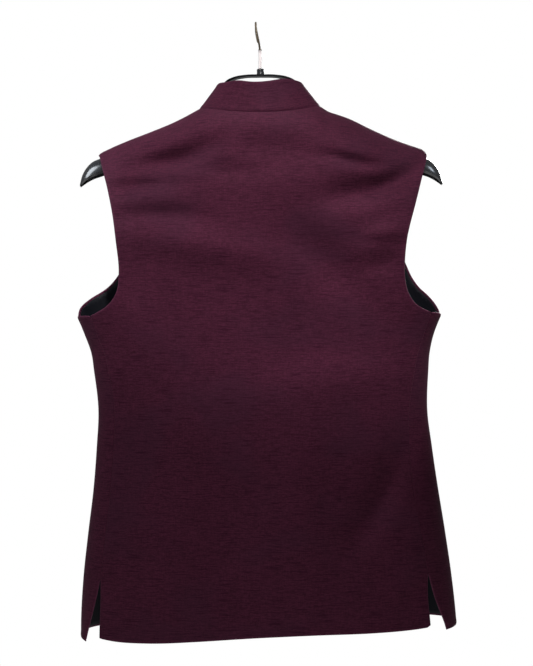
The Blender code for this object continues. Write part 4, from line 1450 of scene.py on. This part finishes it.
def moulded(name):
    gloss = {"Specular_IOR_Level": 0.60, "Coat_Weight": 0.90, "Coat_Roughness": 0.12}
    material, shader = finish_called(name, **gloss)
    place = solid_place(shader)
    flow = place.noise(9, 60, detail=3.0, twist=0.5, dimensions="3D")
    wear_and_shade = place.noise(160, 1500, dimensions="3D").between(0.60, 0.72)
    colour = (flow * 0.6 + wear_and_shade * 0.25).blend(BLACK, GREYED)
    ripples = (flow * 0.6 + wear_and_shade * 0.08).bump(0.05, 0.0006)
    feed(shader, Base_Color=colour, Roughness=0.22 + 0.10 * flow + 0.12 * wear_and_shade, Normal=ripples)
    return material


plastic = moulded("black_plastic")
print("plastic nodes:", len(plastic.node_tree.nodes))

# %% [markdown]
# One table describes half of the shell from the neck to the tip, a row for each place where its
# shape changes. Smooth rows between them make the other stations, and a mirror makes the other
# half. The real hanger sits a little tilted in the jacket, so every point is tilted at the end.

# %% The hanger's measurements
ARCH_TOP_Z = -0.0645
HANGER_TILT = math.radians(0.35)
# distance out, height of the crown, half-width front to back, drop from crown to rim, wall
HANGER = (
    (0.0000, -0.0645, 0.0080, 0.0006, 0.0022),
    (0.0200, -0.0650, 0.0082, 0.0007, 0.0022),
    (0.0340, -0.0674, 0.0086, 0.0010, 0.0024),
    (0.0430, -0.0714, 0.0090, 0.0016, 0.0028),
    (0.0485, -0.0775, 0.0096, 0.0024, 0.0032),
    (0.0525, -0.0860, 0.0102, 0.0034, 0.0036),
    (0.0570, -0.0965, 0.0108, 0.0038, 0.0038),
    (0.0640, -0.1060, 0.0111, 0.0042, 0.0038),
    (0.0740, -0.1130, 0.0114, 0.0046, 0.0036),
    (0.0880, -0.1200, 0.0118, 0.0054, 0.0036),
    (0.1100, -0.1300, 0.0130, 0.0080, 0.0032),
    (0.1400, -0.1420, 0.0150, 0.0125, 0.0030),
    (0.1700, -0.1540, 0.0168, 0.0180, 0.0030),
    (0.1920, -0.1625, 0.0176, 0.0190, 0.0030),
    (0.2060, -0.1672, 0.0174, 0.0186, 0.0030),
    (0.2160, -0.1710, 0.0162, 0.0182, 0.0028),
    (0.2245, -0.1786, 0.0138, 0.0152, 0.0026),
    (0.2300, -0.1878, 0.0100, 0.0106, 0.0022),
    (0.2330, -0.1980, 0.0055, 0.0036, 0.0016),
)
print("hanger:", len(HANGER), "rows,", 2 * HANGER[-1][0], "m from tip to tip")

# %% [markdown]
# Each station is a crescent that opens downwards, because such a hanger is moulded hollow to
# save weight. Its outer arc comes first and its inner one second, and quads join each crescent
# to the next.

# %% The hanger's shell
HANGER_ARC_STEPS = 22
STATIONS_PER_ROW = 5
HANGER_SHARP_ANGLE = math.radians(50)


def on_hanger(point):
    """From the hanger's own frame to the jacket's: a small shift and a small tilt."""
    x, y, z = point
    turned_x = x * math.cos(HANGER_TILT) + z * math.sin(HANGER_TILT)
    turned_z = z * math.cos(HANGER_TILT) - x * math.sin(HANGER_TILT)
    return turned_x + HANGER_SHIFT + AXIS_X, y, turned_z


def hanger_section(reach, crown, wide, drop, wall):
    """A crescent that opens downwards, with rounded lips: the outer arc, then the inner one."""
    angle = np.linspace(-math.pi / 2, math.pi / 2, HANGER_ARC_STEPS + 1)
    y = np.concatenate([wide * np.sin(angle), (wide - wall) * np.sin(angle[::-1])])
    z = np.concatenate([drop * (np.cos(angle) - 1), drop * (np.cos(angle[::-1]) - 1) - wall])
    return np.stack([np.full(len(y), reach), y - forward(reach), crown + z], axis=-1)


def hanger_rows():
    """The table's rows with smooth ones between them, by their distance along the crown."""
    table = np.array(HANGER)
    run = np.hypot(np.diff(table[:, 0]), np.diff(table[:, 1]))
    along = np.concatenate([[0], np.cumsum(run)])
    rows = np.column_stack([along, table])
    at = [
        along[i] + (along[i + 1] - along[i]) * t / STATIONS_PER_ROW
        for i in range(len(along) - 1)
        for t in range(STATIONS_PER_ROW)
    ]
    at = np.array([*at, along[-1]])
    return np.stack([eased(rows, column, at) for column in range(1, 6)], axis=-1)


half = hanger_rows()
rows = [(-reach, *rest) for reach, *rest in half[:0:-1]] + [tuple(row) for row in half]
sections = [hanger_section(*row) for row in rows]
count = len(sections[0])
faces = []
for i in range(len(sections) - 1):
    for j in range(count):
        k = (j + 1) % count
        faces.append((i * count + j, (i + 1) * count + j, (i + 1) * count + k, i * count + k))
for base_index, flip in ((0, -1), (len(sections) - 1, 1)):
    for j in range(HANGER_ARC_STEPS):
        ring = (j, j + 1, count - 2 - j, count - 1 - j)
        faces.append(tuple(base_index * count + n for n in ring[::-flip]))
hanger_points = [on_hanger(p) for p in np.concatenate(sections)]
hanger_mesh = mesh_of("hanger", hanger_points, faces)
hanger_mesh.set_sharp_from_angle(angle=HANGER_SHARP_ANGLE)
linked("hanger_shell", hanger_mesh, [plastic], "hanger_body", "plastic")
print("hanger:", len(faces), "faces")

# %% [markdown]
# The ferrule is the small collar on the arch that grips the hook's stem. It is turned from one
# profile, with a foot ring and a softened mouth.

# %% The ferrule
FERRULE_RADIUS = 0.0046
FERRULE_BORE = 0.0025
FERRULE_TOP_Z = -0.0572
FERRULE_SIDES = 64
low, high = ARCH_TOP_Z + SEAM_GAP, FERRULE_TOP_Z
FERRULE_PROFILE = (
    (FERRULE_BORE, low),
    (FERRULE_RADIUS + 0.0003, low),
    (FERRULE_RADIUS + 0.0003, low + 0.0008),
    (FERRULE_RADIUS, low + 0.0012),
    (FERRULE_RADIUS, high - 0.0012),
    (FERRULE_RADIUS - 0.0001, high - 0.0007),
    (FERRULE_RADIUS - 0.0004, high - 0.0003),
    (FERRULE_RADIUS - 0.0008, high),
    (FERRULE_BORE + 0.0004, high),
    (FERRULE_BORE, high - 0.0003),
)
ferrule_points, faces = [], []
profile_count = len(FERRULE_PROFILE)
for i in range(FERRULE_SIDES):
    angle = i * 2 * math.pi / FERRULE_SIDES
    for radius, z in FERRULE_PROFILE:
        ferrule_points.append(on_hanger((radius * math.cos(angle), radius * math.sin(angle), z)))
    here, after = i * profile_count, (i + 1) % FERRULE_SIDES * profile_count
    for j in range(profile_count):
        k = (j + 1) % profile_count
        faces.append((here + j, after + j, after + k, here + k))
ferrule_mesh = mesh_of("ferrule", ferrule_points, faces)
ferrule_mesh.set_sharp_from_angle(angle=HANGER_SHARP_ANGLE)
linked("hanger_ferrule_turned", ferrule_mesh, [plastic], "hanger_ferrule", "plastic")
print("ferrule:", len(faces), "faces,", round(1000 * (high - low), 1), "mm tall")

# %% [markdown]
# ## The hook
#
# The hook is one plated steel wire. It stands in the ferrule, turns out to one side and goes
# most of the way round the rail. Its stem is painted near white, a painted reflection of the
# white surround, and over the top it turns brown by height, which is painted shade.

# %% Plated wire
# near white for the stem, a painted reflection, and brown for the top, painted shade
PAINTED_REFLECTION_WHITE = (0.84, 0.76, 0.75, 1.0)
PAINTED_SHADE_BROWN = (0.17, 0.13, 0.085, 1.0)
PAINTED_SHADE_STARTS_Z = -0.0330
PAINTED_SHADE_ENDS_Z = -0.0318


def plated(name):
    material, shader = finish_called(name)
    place = solid_place(shader)
    marks = place.noise(1400, 1400, dimensions="3D")
    # painted shade: brown and more metallic above this height; below it the stem stays painted near
    # white as a painted reflection
    wear_and_shade = (place.part(2) + marks * 0.002).between(PAINTED_SHADE_STARTS_Z, PAINTED_SHADE_ENDS_Z)
    colour = wear_and_shade.blend(PAINTED_REFLECTION_WHITE, PAINTED_SHADE_BROWN)
    feed(shader, Base_Color=colour, Metallic=0.05 + 0.40 * wear_and_shade, Normal=marks.bump(0.10, 0.0001))
    feed(shader, Roughness=0.22 + 0.16 * wear_and_shade + 0.10 * marks)
    return material


chrome = plated("plated_wire")
print("wire nodes:", len(chrome.node_tree.nodes))

# %% [markdown]
# The wire's middle line is a straight stem, a soft bend and most of a circle, and it leans to
# one side a little on its way up, as a hook that has carried many jackets does.

# %% The hook's path
LEAN_STARTS_Z = -0.038
LEAN_ENDS_Z = -0.003
HOOK_INNER_RADIUS = 0.0145
HOOK_WIRE = 0.0013
HOOK_START = math.radians(-50)
HOOK_END = math.radians(205)
STEM_TOP_Z = -0.0385
BEND_SHARE = 1 / 2.2
STEM_STEPS = 9
BEND_STEPS = 28
ARC_STEPS = 72


def hook_path():
    radius = HOOK_INNER_RADIUS + HOOK_WIRE
    centre = Vector((0, 0, -HOOK_INNER_RADIUS))

    def on_circle(angle):
        return centre + radius * Vector((0, math.cos(angle), math.sin(angle)))

    stem_foot = Vector((0, 0, ARCH_TOP_Z + 2 * SEAM_GAP))
    stem_top = Vector((0, 0, STEM_TOP_Z))
    start = on_circle(HOOK_START)
    tangent = Vector((0, -math.sin(HOOK_START), math.cos(HOOK_START)))
    reach = (start - stem_top).length * BEND_SHARE
    handles = (stem_top + Vector((0, 0, reach)), start - tangent * reach)
    bend = interpolate_bezier(stem_top, *handles, start, BEND_STEPS)
    stem = [stem_foot.lerp(stem_top, t) for t in np.linspace(0, 1, STEM_STEPS)[:-1]]
    arc = [on_circle(a) for a in np.linspace(HOOK_START, HOOK_END, ARC_STEPS)[1:]]
    return [*stem, *bend, *arc]


path = np.array([tuple(p) for p in hook_path()])
lean = HOOK_LEAN * smooth_step((path[:, 2] - LEAN_STARTS_Z) / (LEAN_ENDS_Z - LEAN_STARTS_Z))
path[:, 0] += HANGER_SHIFT + lean + AXIS_X
wire_length = np.linalg.norm(np.diff(path, axis=0), axis=1).sum()
print("hook:", round(wire_length, 3), "m of wire")

# %% [markdown]
# The stem wears a thin sleeve, so it is thicker up to the sleeve's top, and the free end is
# closed in a half round so that it can't snag a collar.

# %% The hook's wire
STEM_WIRE = 0.0021
SLEEVE_TOP_Z = -0.0330
TAPER_LENGTH = 0.0008
HOOK_SIDES = 20
END_STEPS = 5
END_ANGLE = 0.15
END_CUT = 3


def domed(radius):
    """Radii that close a bar's end in a half round, and how far in from the end each one is."""
    angle = np.linspace(END_ANGLE, math.pi / 2, END_STEPS)
    return radius * np.sin(angle), radius * (1 - np.cos(angle))


taper = smooth_step((path[:, 2] - SLEEVE_TOP_Z) / TAPER_LENGTH)
radius = STEM_WIRE + (HOOK_WIRE - STEM_WIRE) * taper
end_radii, end_reach = domed(HOOK_WIRE)
tip_direction = (path[-1] - path[-2]) / np.linalg.norm(path[-1] - path[-2])
tip = [path[-1] - tip_direction * r for r in end_reach[::-1]]
path = np.concatenate([path[:-END_CUT], tip])
radius = np.concatenate([radius[:-END_CUT], end_radii[::-1]])
hook_mesh = mesh_of("hook", *swept([path], [radius], HOOK_SIDES))
linked("hanger_hook_wire", hook_mesh, [chrome], "hanger_hook", "chrome")
print("hook:", len(hook_mesh.polygons), "faces, a stem", 2000 * STEM_WIRE, "mm thick")

# %% [markdown]
# ## What each cloth piece was cut from
#
# The pattern's measures give the flat size of each sheet of cloth: the widest and the longest
# run of each outline, and the area of the piece itself.

# %% Flat sizes
def declare(piece, outline, area):
    """States a piece's cut: the box round its outline, and its own area."""
    width, length = outline.max(axis=0) - outline.min(axis=0)
    area = min(area, width * length)
    print(piece.name, "cut:", round(width, 3), "x", round(length, 3), "m,", round(area, 4), "m2")


declare(back_piece, outlines["back_panel"], areas["back"])
for front_side, side_name in ((LEFT, "left"), (RIGHT, "right")):
    cut = outlines[f"front_{side_name}"]
    declare(front_pieces[front_side], cut, areas[f"front_{side_name}"])
    lining_cut = moved_in(clipped(cut, front_side, LINING_FRONT_EDGE), LINING_INSET)
    lining_area = areas[f"lining_{side_name}"]
    declare(lining_pieces[front_side], lining_cut, lining_area)
declare(collar_piece, collar_outline(), areas["collar"])

# %% [markdown]
# ## The room
#
# A clean cloth wants a plain room: a pale round floor well below the hem, and a surround that
# is white to look at but weak as a light, so that the lamps alone shape the folds.

# %% Floor and surround
FLOOR_Z = -1.10
FLOOR_RADIUS = 0.84
FLOOR_SIDES = 128
PALE, PALER = (0.80, 0.80, 0.80, 1.0), (0.86, 0.86, 0.86, 1.0)
WHITE = (1.0, 1.0, 1.0, 1.0)


def plain_floor():
    outline = circle(FLOOR_RADIUS, FLOOR_SIDES)
    mesh = bpy.data.meshes.new("floor")
    mesh.from_pydata([(x, y, FLOOR_Z) for x, y in outline], [], [tuple(range(len(outline)))])
    material, shader = finish_called("pale_floor", Roughness=0.75, Emission_Strength=0.5)
    colour = solid_place(shader).noise(3, 3, detail=3.0).blend(PALE, PALER)
    feed(shader, Base_Color=colour, Emission_Color=colour)
    mesh.materials.append(material)
    floor = bpy.data.objects.new("floor", mesh)
    bpy.context.collection.objects.link(floor)


def white_surround(seen, mirrored, lit):
    """A white world: as bright as `seen` to the eye, `mirrored` in gloss and `lit` on cloth."""
    world = bpy.data.worlds.new("surround")
    world.use_nodes = True
    background = world.node_tree.nodes["Background"]
    path_node = world.node_tree.nodes.new("ShaderNodeLightPath")
    eye = Wire(world.node_tree, path_node.outputs["Is Camera Ray"])
    gloss = Wire(world.node_tree, path_node.outputs["Is Glossy Ray"])
    strength = eye * (seen - lit) + gloss * (mirrored - lit) + lit
    world.node_tree.links.new(strength.socket, background.inputs["Strength"])
    background.inputs["Color"].default_value = WHITE
    bpy.context.scene.world = world


plain_floor()
white_surround(seen=1.0, mirrored=0.16, lit=0.05)
print("floor:", round(HEM_FRONT[-1][1] - FLOOR_Z, 2), "m below the hem")

# %% [markdown]
# The lamps are oval softboxes. The main one stands high behind the jacket with a narrow beam, so
# it lays one soft-edged oval of light across the shoulder blades and leaves the hem dimmer. A
# weak second one from above tops up the shoulders, and a wide low one fills the skirt. Small
# ones pick out the hook's stem, the side by the window and the two shiny ends of the hanger. The
# last one, in front, lights the hidden side for anyone who walks round.

# %% Lights
COOL = (0.86, 0.90, 1.0)
SKY = (0.88, 0.94, 1.0)
DEEP_SKY = (0.80, 0.88, 1.0)
NEARLY_WHITE = (0.97, 0.98, 1.0)


def soft_light(name, place, target, size, watts, colour=(1.0, 1.0, 1.0), beam=180, turn=0):
    """An oval softbox. A narrow beam, in degrees, gives its pool of light an edge."""
    data = bpy.data.lights.new(name, "AREA")
    data.shape = "ELLIPSE"
    data.size, data.size_y = size
    data.energy = watts
    data.color = colour
    data.spread = math.radians(beam)
    light = bpy.data.objects.new(name, data)
    light.location = place
    aim = (Vector(target) - Vector(place)).to_track_quat("-Z", "Y")
    light.rotation_euler = (aim @ Quaternion((0.0, 0.0, 1.0), math.radians(turn))).to_euler()
    light.visible_camera = False
    bpy.context.collection.objects.link(light)


soft_light(
    "back_key", (-0.14, 0.95, 0.935), (-0.01, 0.06, -0.185), (0.70, 0.372), 0.46, beam=4, turn=-19
)
soft_light("top_light", (0.10, 0.20, 1.00), (0.03, 0.03, -0.15), (0.46, 0.10), 0.040, beam=5)
soft_light(
    "back_fill", (0.34, 1.05, 0.00), (0.0, 0.06, -0.62), (0.3, 0.3), 0.395, NEARLY_WHITE, beam=60
)
soft_light("hook_light", (0.15, 1.30, 0.00), (AXIS_X, 0.0, -0.043), (0.02, 0.05), 0.0034, beam=3)
soft_light("left_window", (1.05, 0.20, -0.35), (0.20, 0.0, -0.45), (0.30, 0.60), 0.55, COOL)
soft_light("left_tip", (0.437, 0.064, -0.070), (0.22, 0.0, -0.18), (0.14, 0.18), 0.48, SKY)
soft_light("right_tip", (-0.425, 0.064, -0.070), (-0.22, 0.0, -0.18), (0.06, 0.08), 0.09, DEEP_SKY)
soft_light("front_light", (-0.42, -1.20, -0.05), (0.0, 0.0, -0.42), (0.6, 0.6), 18.0)

# %% [markdown]
# ## The camera
#
# The camera stands two metres behind the jacket, level, at the height of its middle. A long
# lens keeps the sides nearly parallel, as a shop's picture of a garment does.

# %% Camera
SENSOR_HEIGHT_MM = 36.0
LENS_MM = 85.1
CAMERA_PLACE = (-0.0136, 2.0, -0.3924)

camera_data = bpy.data.cameras.new("camera")
camera_data.sensor_fit = "VERTICAL"
camera_data.sensor_height = SENSOR_HEIGHT_MM
camera_data.lens = LENS_MM
camera = bpy.data.objects.new("camera", camera_data)
camera.location = CAMERA_PLACE
camera.rotation_euler = (math.radians(90), 0.0, math.radians(180))
bpy.context.collection.objects.link(camera)
bpy.context.scene.camera = camera
bpy.context.scene.view_settings.view_transform = "Standard"
view_height = CAMERA_PLACE[1] * SENSOR_HEIGHT_MM / LENS_MM
print("height of the view at the jacket:", round(view_height, 3), "m")

# %% [markdown]
